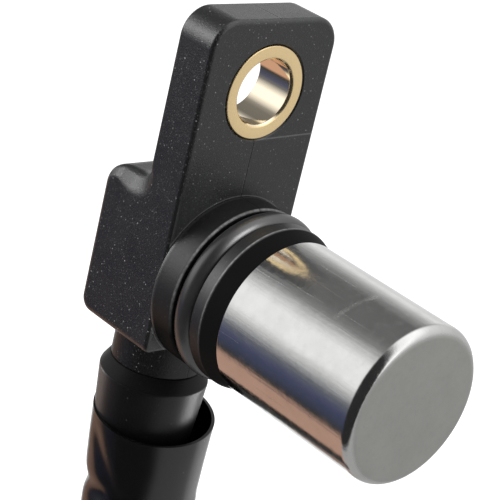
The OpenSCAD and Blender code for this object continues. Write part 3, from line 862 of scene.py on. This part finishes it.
# %% Nose
CORE_FRONT = -housing_low.y
CORE_INSET = 0.45
CORE_WALL = 1.2
NECK_INSET = 0.16
CORE = CAP_RADIUS - CORE_INSET
SOCKET = CORE - CORE_WALL
SOCKET_FLOOR = 7.5
NECK = CAP_RADIUS - NECK_INSET
ROOT = 6.9
ROOT_DEPTH = 3.0
SINK = 0.01
NOSE_SECTION = [
    (0, -ROOT_DEPTH, 0),
    (ROOT, -ROOT_DEPTH, 0),
    (ROOT, -SINK, 0),
    (COLLAR, -SINK, 0.1),
    (COLLAR, COLLAR_TO, 0.30),
    (GROOVE, COLLAR_TO, 0.2),
    (GROOVE, GROOVE_TO, 0.2),
    (LAND, GROOVE_TO, 0.14),
    (LAND, LAND_TO, 0.12),
    (NECK, CAP_REAR, 0),
    (CORE, CAP_REAR, 0),
    (CORE, CORE_FRONT, 1.1),
    (SOCKET, CORE_FRONT, 0),
    (SOCKET, SOCKET_FLOOR, 0),
    (0, SOCKET_FLOOR, 0),
]
carve(moulding, turned(NOSE_SECTION, FORWARDS), "UNION")
print("with the nose", len(moulding.data.polygons), "faces")

# %% Outlet
boot_low, boot_high = box_mm("cable_boot")
OUTLET_Y = (boot_low.y + boot_high.y) / 2
BOOT_TOP = boot_high.z
BOOT_END = boot_low.z
BOOT_RADIUS = (boot_high.x - boot_low.x) / 2
AT_OUTLET = Matrix.Translation((0, OUTLET_Y, 0))
OUTLET = 4.94
OUTLET_SINK = 3
OUTLET_ROOT = BLOCK_BOTTOM + OUTLET_SINK
SPIGOT = 4.24
SPIGOT_END = housing_low.z
OUTLET_SECTION = [
    (0, OUTLET_ROOT, 0),
    (OUTLET, OUTLET_ROOT, 0),
    (OUTLET, BOOT_TOP, 0.15),
    (SPIGOT, BOOT_TOP, 0.1),
    (SPIGOT, SPIGOT_END, 0.4),
    (0, SPIGOT_END, 0),
]
carve(moulding, turned(OUTLET_SECTION, AT_OUTLET), "UNION")
print("outlet on y", round(OUTLET_Y, 2), "boot from", round(BOOT_TOP, 2), "to", round(BOOT_END, 2))

# %% Bush seat and wire bore
SEAT_GAP = 0.06
SEAT_CHAMFER = 0.18
PAST = 1.0
WIRE_BORE = 2.97
WIRE_BORE_TOP = BLOCK_BOTTOM + PAST
SEAT_SECTION = [
    (0, -PAST, 0),
    (BUSH_RADIUS + SEAT_CHAMFER + PAST, -PAST, 0),
    (BUSH_RADIUS + SEAT_GAP, SEAT_CHAMFER, 0),
    (BUSH_RADIUS + SEAT_GAP, BUSH_LENGTH + PAST, 0),
    (0, BUSH_LENGTH + PAST, 0),
]
WIRE_BORE_SECTION = [
    (0, SPIGOT_END - PAST, 0),
    (WIRE_BORE, SPIGOT_END - PAST, 0),
    (WIRE_BORE, WIRE_BORE_TOP, 0),
    (0, WIRE_BORE_TOP, 0),
]
carve(moulding, turned(SEAT_SECTION, INTO_EAR), "DIFFERENCE")
carve(moulding, turned(WIRE_BORE_SECTION, AT_OUTLET), "DIFFERENCE")
dress(moulding, housing_finish, "housing")

# %% [markdown]
# ## Turned and moulded rings
# Bush, cap, seal ring and boot are all round, so each is one half section. The roundings matter
# more than anything else here: they catch the light and draw the bright lines round the nose.

# %% Bush
BUSH_CHAMFER = 0.25
BUSH_SECTION = [
    (BORE_RADIUS + BUSH_CHAMFER, 0, 0.06),
    (BUSH_RADIUS, 0, 0.12),
    (BUSH_RADIUS, BUSH_LENGTH, 0.12),
    (BORE_RADIUS + BUSH_CHAMFER, BUSH_LENGTH, 0.06),
    (BORE_RADIUS, BUSH_LENGTH - BUSH_CHAMFER, 0.06),
    (BORE_RADIUS, BUSH_CHAMFER, 0.06),
]
bush = loose_object("turned_bush", turned(BUSH_SECTION, INTO_EAR))
dress(bush, bush_finish, "mounting_bush")

# %% Cap
CAP_WALL = 0.4
CAP_EDGE = 1.1
CAP_SIDES = 160
CAP_SECTION = [
    (CAP_RADIUS - CAP_WALL, CAP_REAR, 0.08),
    (CAP_RADIUS, CAP_REAR, 0.16),
    (CAP_RADIUS, CAP_FRONT, CAP_EDGE),
    (0, CAP_FRONT, 0),
    (0, CAP_FRONT - CAP_WALL, 0),
    (CAP_RADIUS - CAP_WALL, CAP_FRONT - CAP_WALL, CAP_EDGE - CAP_WALL),
]
cap = loose_object("drawn_cap", turned(CAP_SECTION, FORWARDS, CAP_SIDES))
dress(cap, cap_finish, "nose_cap")

# %% Seal ring
ring_low, ring_high = box_mm("o_ring")
RING_SIDES = 28
RING_THICK = ring_high.y - ring_low.y
RING_CENTRE = (ring_high.x - ring_low.x) / 2 - RING_THICK / 2
RING_STATION = -(ring_high.y + ring_low.y) / 2


def ring_form():
    """A round section spun about the nose."""
    form = bmesh.new()
    bmesh.ops.create_circle(form, segments=RING_SIDES, radius=RING_THICK / 2)
    bmesh.ops.rotate(form, matrix=Matrix.Rotation(math.radians(90), 3, "X"), verts=form.verts[:])
    bmesh.ops.translate(form, vec=(RING_CENTRE, 0, RING_STATION), verts=form.verts[:])
    spin(form)
    bmesh.ops.transform(form, matrix=FORWARDS, verts=form.verts[:])
    return form


seal_ring = loose_object("seal_ring", ring_form())
dress(seal_ring, seal_finish, "o_ring")

# %% Boot
BOOT_STEP = 0.375
TAIL_LENGTH = 3.6
BOOT_WAIST = BOOT_RADIUS - BOOT_STEP
BOOT_TAIL = BOOT_RADIUS - 2 * BOOT_STEP
TAIL_TOP = BOOT_END + TAIL_LENGTH
FIT = 0.05
BOOT_SECTION = [
    (SPIGOT + FIT, BOOT_TOP, 0.1),
    (OUTLET, BOOT_TOP, 0.15),
    (BOOT_RADIUS, BOOT_TOP - BOOT_SHOULDER, 0.2),
    (BOOT_WAIST, TAIL_TOP, 0.4),
    (BOOT_TAIL, BOOT_END, 0.6),
    (WIRE_BORE, BOOT_END, 0.1),
    (WIRE_BORE, SPIGOT_END - FIT, 0),
    (SPIGOT + FIT, SPIGOT_END - FIT, 0),
]
boot = loose_object("rubber_boot", turned(BOOT_SECTION, AT_OUTLET))
dress(boot, boot_finish, "cable_boot")

# %% [markdown]
# ## Tube over the lead
# The tube is pushed over the boot and hangs almost straight to the connector. Its mouth touches
# the boot on the left and flares away on the right, and the thin wall is creased below the
# mouth. A circle is extruded along the route, ring by ring, and each ring is then pushed in or
# out: the flare by its side, and every crease by the distance from a line drawn on the wall.

# %% Shape of the tube
TUBE_ROUTE = [
    (0.4, 6.1, -39.5),
    (0.64, 5.92, -43),
    (0.9, 5.7, -47),
    (1.1, 5.5, -51),
    (1.3, 5.3, -55),
    (1.45, 5.15, -59.5),
    (1.6, 5, -64),
    (1.7, 4.9, -69.5),
    (1.8, 4.8, -75),
    (1.9, 4.7, -81),
    (2, 4.6, -88),
    (2, 4.6, -96),
    (2, 4.6, -105),
    (2, 4.6, -115),
    (2, 4.6, -125),
    (2, 4.6, -135),
]
TUBE_RADIUS = 6.2
TUBE_WALL = 0.35
RINGS_PER_SPAN = 9
TUBE_SIDES = 108
MOUTH_FLARE = 0.8
MOUTH_LENGTH = 7.5
FLARE_SIDE = math.radians(-41)
MOUTH_FRONT = math.radians(224)
MOUTH_SLANT = 0.85
SLANT_LENGTH = 6.0
# Faint waves in the wall: their height, their number round the tube, and their turn and rate
WAVE = 0.05
WAVES_ROUND = 3
WAVE_TWIST = 0.35
WAVE_RATE = 0.21
# Each crease runs between two (bearing in degrees, drop below the mouth) points
CREASES = [
    ((170, 2.2), (204, 7.4), 0.20, 1.0),
    ((115, 8.6), (185, 8.0), 0.38, 1.1),
]


def crease_depth(drop, bearing):
    """How far the creases push the wall in at one place."""
    place = Vector((math.radians(bearing) * TUBE_RADIUS, drop))
    depth = 0.0
    for first, last, deep, wide in CREASES:
        start = Vector((math.radians(first[0]) * TUBE_RADIUS, first[1]))
        run = Vector((math.radians(last[0]) * TUBE_RADIUS, last[1])) - start
        share = min(max((place - start).dot(run) / run.length_squared, 0), 1)
        gap = (place - start - run * share).length
        depth += deep * math.exp(-((gap / wide) ** 2))
    return depth


def mouth_lift(drop, bearing):
    """How far the slanting mouth stands above its front."""
    return MOUTH_SLANT * (1 - math.cos(bearing - MOUTH_FRONT)) * max(1 - drop / SLANT_LENGTH, 0)


def tube_radius(drop, bearing):
    """Radius of the tube at a distance below its mouth and an angle round it."""
    flare = max(1 - drop / MOUTH_LENGTH, 0) * (0.5 + 0.5 * math.cos(bearing - FLARE_SIDE))
    waves = math.sin(WAVES_ROUND * bearing + WAVE_TWIST * drop) * math.sin(WAVE_RATE * drop)
    crease = crease_depth(drop, math.degrees(bearing) % 360)
    return TUBE_RADIUS + MOUTH_FLARE * flare + WAVE * waves - crease


print("tube has", len(TUBE_ROUTE), "route points and", len(CREASES), "creases")


# %% Tube
def smooth_route(route, steps):
    """Points on a smooth curve through a route's own points."""
    points = [Vector(point) for point in route]
    padded = [2 * points[0] - points[1]] + points + [2 * points[-1] - points[-2]]
    curve = []
    for before, start, end, after in zip(padded, padded[1:], padded[2:], padded[3:]):
        for step in range(steps):
            t = step / steps
            bend = (end - before) * t + (2 * before - 5 * start + 4 * end - after) * t**2
            curve.append(start + (bend + (3 * start - before - 3 * end + after) * t**3) / 2)
    return curve + [points[-1]]


def tube_form(centres):
    """A thin-walled tube round a line of centres."""
    form = bmesh.new()
    bmesh.ops.create_circle(form, segments=TUBE_SIDES, radius=TUBE_RADIUS)
    bmesh.ops.translate(form, vec=centres[0], verts=form.verts[:])
    rim = form.edges[:]
    rings = [form.verts[:]]
    for before, after in zip(centres, centres[1:]):
        grown = bmesh.ops.extrude_edge_only(form, edges=rim)
        rim = [part for part in grown["geom"] if isinstance(part, bmesh.types.BMEdge)]
        rings.append(new_points(grown))
        bmesh.ops.translate(form, vec=after - before, verts=rings[-1])
    for centre, points in zip(centres, rings):
        for point in points:
            out = point.co - centre
            drop, bearing = centres[0].z - centre.z, math.atan2(out.y, out.x)
            point.co = centre + out * (tube_radius(drop, bearing) / TUBE_RADIUS)
            point.co.z += mouth_lift(drop, bearing)
    bmesh.ops.recalc_face_normals(form, faces=form.faces[:])
    bmesh.ops.solidify(form, geom=form.faces[:], thickness=TUBE_WALL)
    bmesh.ops.recalc_face_normals(form, faces=form.faces[:])
    return form


tube_centres = smooth_route(TUBE_ROUTE, RINGS_PER_SPAN)
tube = loose_object("lead_tube", tube_form(tube_centres))
dress(tube, tube_finish, "protective_tube", crease=50)
tube_steps = zip(tube_centres, tube_centres[1:])
tube_length = sum((after - before).length for before, after in tube_steps) * MM
print("tube length in mm", round(tube_length / MM, 1))

# %% [markdown]
# ## Connector
# The lead ends in a two-pin connector: a rear cover on the tube, a terminal block with an open
# shroud, a coloured retainer on the shroud's floor and two tinned blades. Covers and shroud are
# prisms with a round-ended outline. A circle is cut in two halves that are pulled apart, the
# face is extruded, and its rims are bevelled. Booleans then open the socket and the bores.

# %% Prisms with round ends
shroud_low, shroud_high = box_mm("connector_housing")
CONNECTOR_AXIS = Vector((TUBE_ROUTE[-1][0], TUBE_ROUTE[-1][1], 0))
SHROUD_WIDTH = 18.0
SHROUD_DEPTH = 13.0
SHROUD_WALL = 1.3
SHROUD_END = shroud_low.z
SOCKET_DEPTH = 18
SHROUD_FLOOR = SHROUD_END + SOCKET_DEPTH
SHROUD_TOP = SHROUD_FLOOR + SHROUD_WALL
TERMINAL_BLOCK_TOP = shroud_high.z
BLOCK_INSET = 1.6
ROUND_ENDS = 64
RIM_STEPS = 4
ROD_SIDES = 64


def obround(width, depth, low, high, rounding=0.0):
    """An upright prism with a round-ended outline about the connector's axis."""
    form = bmesh.new()
    bmesh.ops.create_circle(form, cap_ends=True, segments=ROUND_ENDS, radius=depth / 2)
    half_step = Matrix.Rotation(math.pi / ROUND_ENDS, 3, "Z")
    bmesh.ops.rotate(form, matrix=half_step, verts=form.verts[:])
    for point in form.verts:
        point.co.x += math.copysign((width - depth) / 2, point.co.x)
    grown = bmesh.ops.extrude_face_region(form, geom=form.faces[:])
    bmesh.ops.translate(form, vec=(0, 0, high - low), verts=new_points(grown))
    bmesh.ops.recalc_face_normals(form, faces=form.faces[:])
    if rounding:
        rims = edges_at(form, z=0) + edges_at(form, z=high - low)
        bevel(form, rims, rounding, RIM_STEPS)
    bmesh.ops.translate(form, vec=CONNECTOR_AXIS + Vector((0, 0, low)), verts=form.verts[:])
    return form


def inset(amount):
    """Width and depth of an outline that lies inside the shroud's by an amount."""
    return SHROUD_WIDTH - 2 * amount, SHROUD_DEPTH - 2 * amount


def block_form(low, high):
    """A plain block between two corners."""
    form = bmesh.new()
    bmesh.ops.create_cube(form, size=1)
    bmesh.ops.scale(form, vec=high - low, verts=form.verts[:])
    bmesh.ops.translate(form, vec=(low + high) / 2, verts=form.verts[:])
    return form


def rod(radius, low, high, middle):
    """A plain upright cylinder round a middle, as a cutter."""
    section = [(0, low, 0), (radius, low, 0), (radius, high, 0), (0, high, 0)]
    return turned(section, Matrix.Translation(middle), ROD_SIDES)


print("connector axis", tuple(round(value, 2) for value in CONNECTOR_AXIS))

# %% Terminal block and shroud
RIB = 0.6
RIB_THICK = 1.2
LATCH_WIDTH = 5.0
LATCH_LENGTH = 5.0
LATCH_HEIGHT = 1.6
TERMINAL_PITCH = 5.0
LATCH_EDGE = 0.2
LATCH_STEPS = 3
SEAL_BORE = 2.0
SEAL_DEPTH = 5.6
BARREL_SPACE = 1.42
BLADE = Vector((1.5, 0.6, 0))
TERMINAL_PLACES = [CONNECTOR_AXIS + Vector((side * TERMINAL_PITCH / 2, 0, 0)) for side in (-1, 1)]


def latch_ramp():
    """The wedge on the shroud's back that a latch snaps over."""
    base = CONNECTOR_AXIS.y + SHROUD_DEPTH / 2
    foot = SHROUD_END + (SHROUD_FLOOR - SHROUD_END) / 2
    side_view = [
        (base - PAST, foot),
        (base, foot),
        (base + LATCH_HEIGHT, foot + LATCH_LENGTH),
        (base - PAST, foot + LATCH_LENGTH),
    ]
    form = pulled(side_view, CONNECTOR_AXIS.x - LATCH_WIDTH / 2, LATCH_WIDTH)
    bevel(form, form.edges[:], LATCH_EDGE, LATCH_STEPS)
    return form


def blade_slot(middle, low, high):
    """A slot that one blade passes through."""
    half = BLADE / 2 + Vector((FIT, FIT, 0))
    return block_form(middle - half + Vector((0, 0, low)), middle + half + Vector((0, 0, high)))


def shroud_object():
    """Terminal block, shroud, rib and latch in one moulding."""
    rib_foot, rib_middle = SHROUD_TOP - RIB_THICK, SHROUD_TOP - RIB_THICK / 2
    seal_floor = TERMINAL_BLOCK_TOP - SEAL_DEPTH
    made = loose_object("connector_shroud", obround(*inset(-RIB), rib_foot, SHROUD_TOP, 0.35))
    carve(made, obround(*inset(0), SHROUD_END, rib_middle, 0.4), "UNION")
    carve(made, obround(*inset(BLOCK_INSET), rib_middle, TERMINAL_BLOCK_TOP, 0.3), "UNION")
    carve(made, latch_ramp(), "UNION")
    carve(made, obround(*inset(SHROUD_WALL), SHROUD_END - PAST, SHROUD_FLOOR, 0.3), "DIFFERENCE")
    for middle in TERMINAL_PLACES:
        seal_room = rod(SEAL_BORE, seal_floor, TERMINAL_BLOCK_TOP + PAST, middle)
        barrel_room = rod(BARREL_SPACE, SHROUD_TOP, seal_floor + NEAR, middle)
        blade_room = blade_slot(middle, SHROUD_FLOOR - PAST, SHROUD_TOP + PAST)
        for room in (seal_room, barrel_room, blade_room):
            carve(made, room, "DIFFERENCE")
    return made


shroud = dress(shroud_object(), connector_finish, "connector_housing")

# %% Rear cover and retainer
cover_low, cover_high = box_mm("connector_rear_cover")
COVER_WALL = 1.2
COVER_TOP = TUBE_ROUTE[-1][2] - FIT
COVER_SPIGOT = 5.46
COVER_BORE = 3.7
retainer_low, retainer_high = box_mm("connector_retainer")


def cover_object():
    """The clip-on cover, with its spigot inside the tube."""
    inside = inset(BLOCK_INSET - FIT)
    outside = [size + 2 * COVER_WALL for size in inside]
    made = loose_object("connector_cover", obround(*outside, cover_low.z, COVER_TOP, 0.4))
    carve(made, rod(COVER_SPIGOT, COVER_TOP - RIB, cover_high.z, CONNECTOR_AXIS), "UNION")
    carve(made, obround(*inside, cover_low.z - PAST, TERMINAL_BLOCK_TOP + FIT), "DIFFERENCE")
    carve(made, rod(COVER_BORE, cover_low.z, cover_high.z + PAST, CONNECTOR_AXIS), "DIFFERENCE")
    return made


def retainer_object():
    """The coloured plate that locks both terminals."""
    size = (retainer_high.x - retainer_low.x, retainer_high.y - retainer_low.y)
    made = loose_object("terminal_retainer", obround(*size, retainer_low.z, retainer_high.z, 0.3))
    for middle in TERMINAL_PLACES:
        carve(made, blade_slot(middle, retainer_low.z - PAST, retainer_high.z + PAST), "DIFFERENCE")
    return made


cover = dress(cover_object(), connector_finish, "connector_rear_cover")

# %% [markdown]
# ## Inner pieces
# The coil, magnet and wires are hidden in the housing, but the model can be taken apart, so
# they get true finishes too. Their CAD shapes are right, so only the material changes.


# %% Finishes of the inner pieces
def worn_metal(name, dark, light, rough, lines):
    """Plain metal with fine lines and a cloudy gloss."""
    material, shader, flow = start_finish(name, Metallic=1.0)
    place = millimetres(flow)
    cloud = noise(flow, place, 1.2, 3)
    fine = noise(flow, millimetres(flow, stretch=lines), 6, 2)
    flow.fill(shader.inputs["Base Color"], cloud.colours(dark, light))
    flow.fill(shader.inputs["Roughness"], rough + (cloud - 0.5) * 0.2)
    bump(flow, shader, fine, 0.01)
    return material


def dull_plastic(name, dark, light, rough):
    """Plain moulding or rubber with a cloudy tint."""
    material, shader, flow = start_finish(name)
    place = millimetres(flow)
    cloud = noise(flow, place, 0.9, 3)
    flow.fill(shader.inputs["Base Color"], cloud.colours(dark, light))
    flow.fill(shader.inputs["Roughness"], rough + (cloud - 0.5) * 0.15)
    bump(flow, shader, noise(flow, place, 8, 2), 0.01)
    return material


EVEN = (1, 1, 1)
ROUND_NOSE = (0.05, 4, 0.05)
COPPER = ((0.38, 0.12, 0.04, 1), (0.50, 0.19, 0.08, 1))
BRONZE = ((0.52, 0.42, 0.27, 1), (0.66, 0.56, 0.40, 1))
BOBBIN_BROWN = ((0.05, 0.045, 0.04, 1), (0.07, 0.065, 0.055, 1))
SILICONE_RED = ((0.22, 0.07, 0.03, 1), (0.30, 0.10, 0.05, 1))
RETAINER_RED = ((0.36, 0.08, 0.02, 1), (0.46, 0.12, 0.04, 1))
INNER_FINISHES = {
    "pole_piece": worn_metal("turned_iron", grey(0.38), grey(0.50), 0.35, ROUND_NOSE),
    "magnet": worn_metal("sintered_magnet", grey(0.13), grey(0.19), 0.55, EVEN),
    "coil_winding": worn_metal("enamelled_copper", *COPPER, 0.3, ROUND_NOSE),
    "bobbin": dull_plastic("bobbin_moulding", *BOBBIN_BROWN, 0.45),
}
pin_finish = worn_metal("tinned_bronze", *BRONZE, 0.3, EVEN)
tin_finish = worn_metal("bright_tin", grey(0.50), grey(0.62), 0.32, EVEN)
wire_finish = dull_plastic("wire_sleeve", grey(0.02), grey(0.04), 0.4)
silicone_finish = dull_plastic("seal_silicone", *SILICONE_RED, 0.5)
retainer_finish = dull_plastic("retainer_moulding", *RETAINER_RED, 0.42)
for number in (1, 2):
    INNER_FINISHES[f"terminal_pin_{number}"] = pin_finish
    INNER_FINISHES[f"splice_crimp_{number}"] = tin_finish
    INNER_FINISHES[f"lead_wire_{number}"] = wire_finish
    INNER_FINISHES[f"wire_seal_{number}"] = silicone_finish
for name, finish in INNER_FINISHES.items():
    shown = frame["nodes"][name]
    shown.data.materials.clear()
    shown.data.materials.append(finish)
print(len(INNER_FINISHES), "CAD nodes have a finish")

# %% Retainer and terminals
retainer = dress(retainer_object(), retainer_finish, "connector_retainer")
BARREL = 1.3
BARREL_BORE = 0.9
BARREL_FLOOR = 1.7
BARREL_LENGTH = 4.5
BARREL_SIDES = 48
BLADE_LEAD = 0.22
BLADE_ROOT = 0.4


def terminal_object(number, middle):
    """A tinned blade with a chamfered tip and a crimp barrel."""
    low, high = box_mm(f"connector_terminal_{number}")
    barrel_foot = high.z - BARREL_LENGTH
    half = BLADE / 2
    blade_low = middle - half + Vector((0, 0, low.z))
    form = block_form(blade_low, middle + half + Vector((0, 0, barrel_foot + BLADE_ROOT)))
    bevel(form, edges_at(form, z=blade_low.z), BLADE_LEAD, 1)
    made = loose_object(f"blade_terminal_{number}", form)
    barrel = [
        (0, barrel_foot, 0),
        (BARREL, barrel_foot, 0.15),
        (BARREL, high.z, 0.1),
        (BARREL_BORE, high.z, 0.1),
        (BARREL_BORE, barrel_foot + BARREL_FLOOR, 0),
        (0, barrel_foot + BARREL_FLOOR, 0),
    ]
    carve(made, turned(barrel, Matrix.Translation(middle), BARREL_SIDES), "UNION")
    return made


terminals = []
for number, middle in enumerate(TERMINAL_PLACES, 1):
    terminal = terminal_object(number, middle)
    terminals.append(dress(terminal, tin_finish, f"connector_terminal_{number}"))

# %% [markdown]
# ## The lead's far end
# The pieces that hang on the tube's far end are gathered in a list.

on_the_lead = [cover, shroud, retainer] + terminals
for number in (1, 2):
    on_the_lead += [frame["nodes"][f"wire_seal_{number}"], frame["nodes"][f"lead_wire_{number}"]]
tube_centres[0] * MM
[centre * MM for centre in tube_centres]
print(len(on_the_lead), "pieces on the lead")

# %% [markdown]
# ## Studio
# The floor is plain and pale. The camera sees the world as white. What the steel reflects is a
# simple studio: a white wall on the right, a grey ceiling, a soft light at the upper left, a
# dark side on the left and a warm bench below. It is drawn as two bands of colour round the
# nose's axis, one for what lies behind the sensor and one for what lies in front of it.

# %% Studio surround
NAVY = (0.085, 0.095, 0.18, 1)
WARM = (0.60, 0.37, 0.28, 1)
BEHIND = [
    (-60, grey(0.90)),
    (-33, grey(1.50)),
    (-24, grey(1.30)),
    (-15, grey(0.82)),
    (0, grey(0.84)),
    (14, grey(1.05)),
    (27, grey(0.66)),
    (41, grey(0.34)),
    (55, grey(0.17)),
    (97, grey(0.19)),
    (111, grey(0.30)),
    (125, grey(0.80)),
    (139, grey(1.22)),
    (167, grey(1.22)),
    (181, grey(0.70)),
    (195, (0.18, 0.19, 0.22, 1)),
    (209, NAVY),
    (224, (0.06, 0.07, 0.11, 1)),
    (233, grey(0.05)),
    (242, WARM),
    (280, WARM),
    (296, (0.22, 0.15, 0.12, 1)),
]
IN_FRONT = [
    (-110, grey(0.50)),
    (-29, grey(0.48)),
    (10, grey(0.72)),
    (45, grey(1.0)),
    (70, grey(1.6)),
    (95, grey(1.3)),
    (110, grey(0.25)),
    (120, grey(0.04)),
    (238, grey(0.03)),
]
FRONT_TO_BACK = (0.15, 0.55)
SOFT_LIGHT = 0.7


def band(flow, turn, bearings):
    """A ramp of colours by the angle round the nose axis, closed on itself."""
    stops = [((bearing % 360) / 360, colour) for bearing, colour in bearings]
    first, last = min(stops), max(stops)
    gap = first[0] + 1 - last[0]
    share = (1 - last[0]) / gap
    seam = tuple(a + (b - a) * share for a, b in zip(last[1], first[1]))
    return flow.node("ShaderNodeValToRGB", {"stops": stops + [(0, seam), (1, seam)]}, {0: turn})


def studio_world():
    """White to the camera, a studio to reflections, a soft even light to everything else."""
    world = bpy.data.worlds.new("studio")
    world.use_nodes = True
    world.cycles.sampling_method = "NONE"
    flow = Flow(world.node_tree)
    x, y, z = axes(flow, flow.node("ShaderNodeTexCoord", output="Generated"))
    turn = flow.math("ARCTAN2", z, x) * (0.5 / math.pi)
    turn = turn + (turn < 0)
    in_front, behind = band(flow, turn, IN_FRONT), band(flow, turn, BEHIND)
    surround = y.between(*FRONT_TO_BACK).colours(in_front, behind)
    path = flow.node("ShaderNodeLightPath").socket.node.outputs
    to_camera = Flow(flow.tree, path["Is Camera Ray"])
    to_gloss = Flow(flow.tree, path["Is Glossy Ray"]) + Flow(flow.tree, path["Is Transmission Ray"])
    seen = to_gloss.colours(grey(SOFT_LIGHT), surround)
    backdrop = world.node_tree.nodes["Background"]
    flow.fill(backdrop.inputs["Color"], to_camera.colours(seen, grey(1)))
    return world


bpy.context.scene.world = studio_world()
print("studio with", len(BEHIND) + len(IN_FRONT), "stops")

# %% [markdown]
# ## Lamps and floor
# Two large soft lamps light dust and scuffs. They are kept out of reflections, because the
# studio already stands in them. The other lamps do the opposite: each one is only a highlight
# on one piece, such as the moulding's rounded corners, the bush's face, the streak on the seal
# ring and the lead's two sides. The floor is white enough to vanish in the background, and it
# still takes the sensor's shadow.


# %% Lamps
def soft_lamp(name, place, size, power):
    """A large square lamp that points at the middle of the sensor."""
    light = bpy.data.lights.new(name, "AREA")
    light.energy = power
    light.size = size
    lamp = bpy.data.objects.new(name, light)
    lamp.location = place
    lamp.rotation_mode = "QUATERNION"
    lamp.rotation_quaternion = (CAMERA_TARGET * MM - lamp.location).to_track_quat("-Z", "Y")
    lamp.visible_glossy = False
    bpy.context.scene.collection.objects.link(lamp)
    return lamp


def gloss_lamp(name, place, size, power, pieces):
    """A lamp that only some pieces reflect."""
    lamp = soft_lamp(name, place, size, power)
    lamp.visible_glossy = True
    lamp.visible_diffuse = False
    chosen = bpy.data.collections.new(name + "_pieces")
    for piece in pieces:
        chosen.objects.link(piece)
    lamp.light_linking.receiver_collection = chosen
    return lamp


lamps = [
    soft_lamp("upper_left_lamp", Vector((-0.55, 0.25, 0.50)), 0.5, 7.0),
    soft_lamp("front_lamp", Vector((0.35, -0.6, 0.25)), 0.5, 2.2),
    gloss_lamp("softbox", Vector((-0.37, 0.34, 0.15)), 0.26, 0.7, [moulding]),
    gloss_lamp("bush_light", Vector((0.20, -0.19, -0.11)), 0.15, 0.013, [bush]),
    gloss_lamp("ring_light", Vector((0.05, -0.31, 0.30)), 0.18, 0.8, [seal_ring]),
    gloss_lamp("tube_light", Vector((0.24, -0.03, -0.13)), 0.14, 0.03, [tube]),
    gloss_lamp("boot_light", Vector((0.20, -0.10, -0.12)), 0.12, 0.24, [boot]),
    gloss_lamp("boot_edge_light", Vector((-0.07, 0.27, -0.12)), 0.10, 0.10, [boot]),
]
print(len(lamps), "lamps")


# %% Floor
FLOOR_HALF = 3000
FLOOR_GAP = 0.2


def white_floor(height):
    """A wide pale floor that stays out of the steel's reflections."""
    material, shader, flow = start_finish("floor_white", Roughness=0.9, Emission_Strength=0.35)
    shader.inputs["Base Color"].default_value = grey(0.9)
    path = flow.node("ShaderNodeLightPath").socket.node.outputs
    to_camera = Flow(flow.tree, path["Is Camera Ray"])
    flow.fill(shader.inputs["Emission Color"], to_camera.colours(grey(0), grey(1)))
    form = bmesh.new()
    bmesh.ops.create_grid(form, x_segments=1, y_segments=1, size=FLOOR_HALF)
    bmesh.ops.translate(form, vec=(0, 0, height), verts=form.verts[:])
    floor = loose_object("floor", form)
    floor.data.transform(TO_METRES)
    floor.data.materials.append(material)
    floor.visible_glossy = False


FLOOR_HEIGHT = cad_box[0].z / MM - FLOOR_GAP
white_floor(FLOOR_HEIGHT)
bpy.context.scene.view_settings.view_transform = "Standard"
print("floor at", round(FLOOR_HEIGHT, 2), "mm")
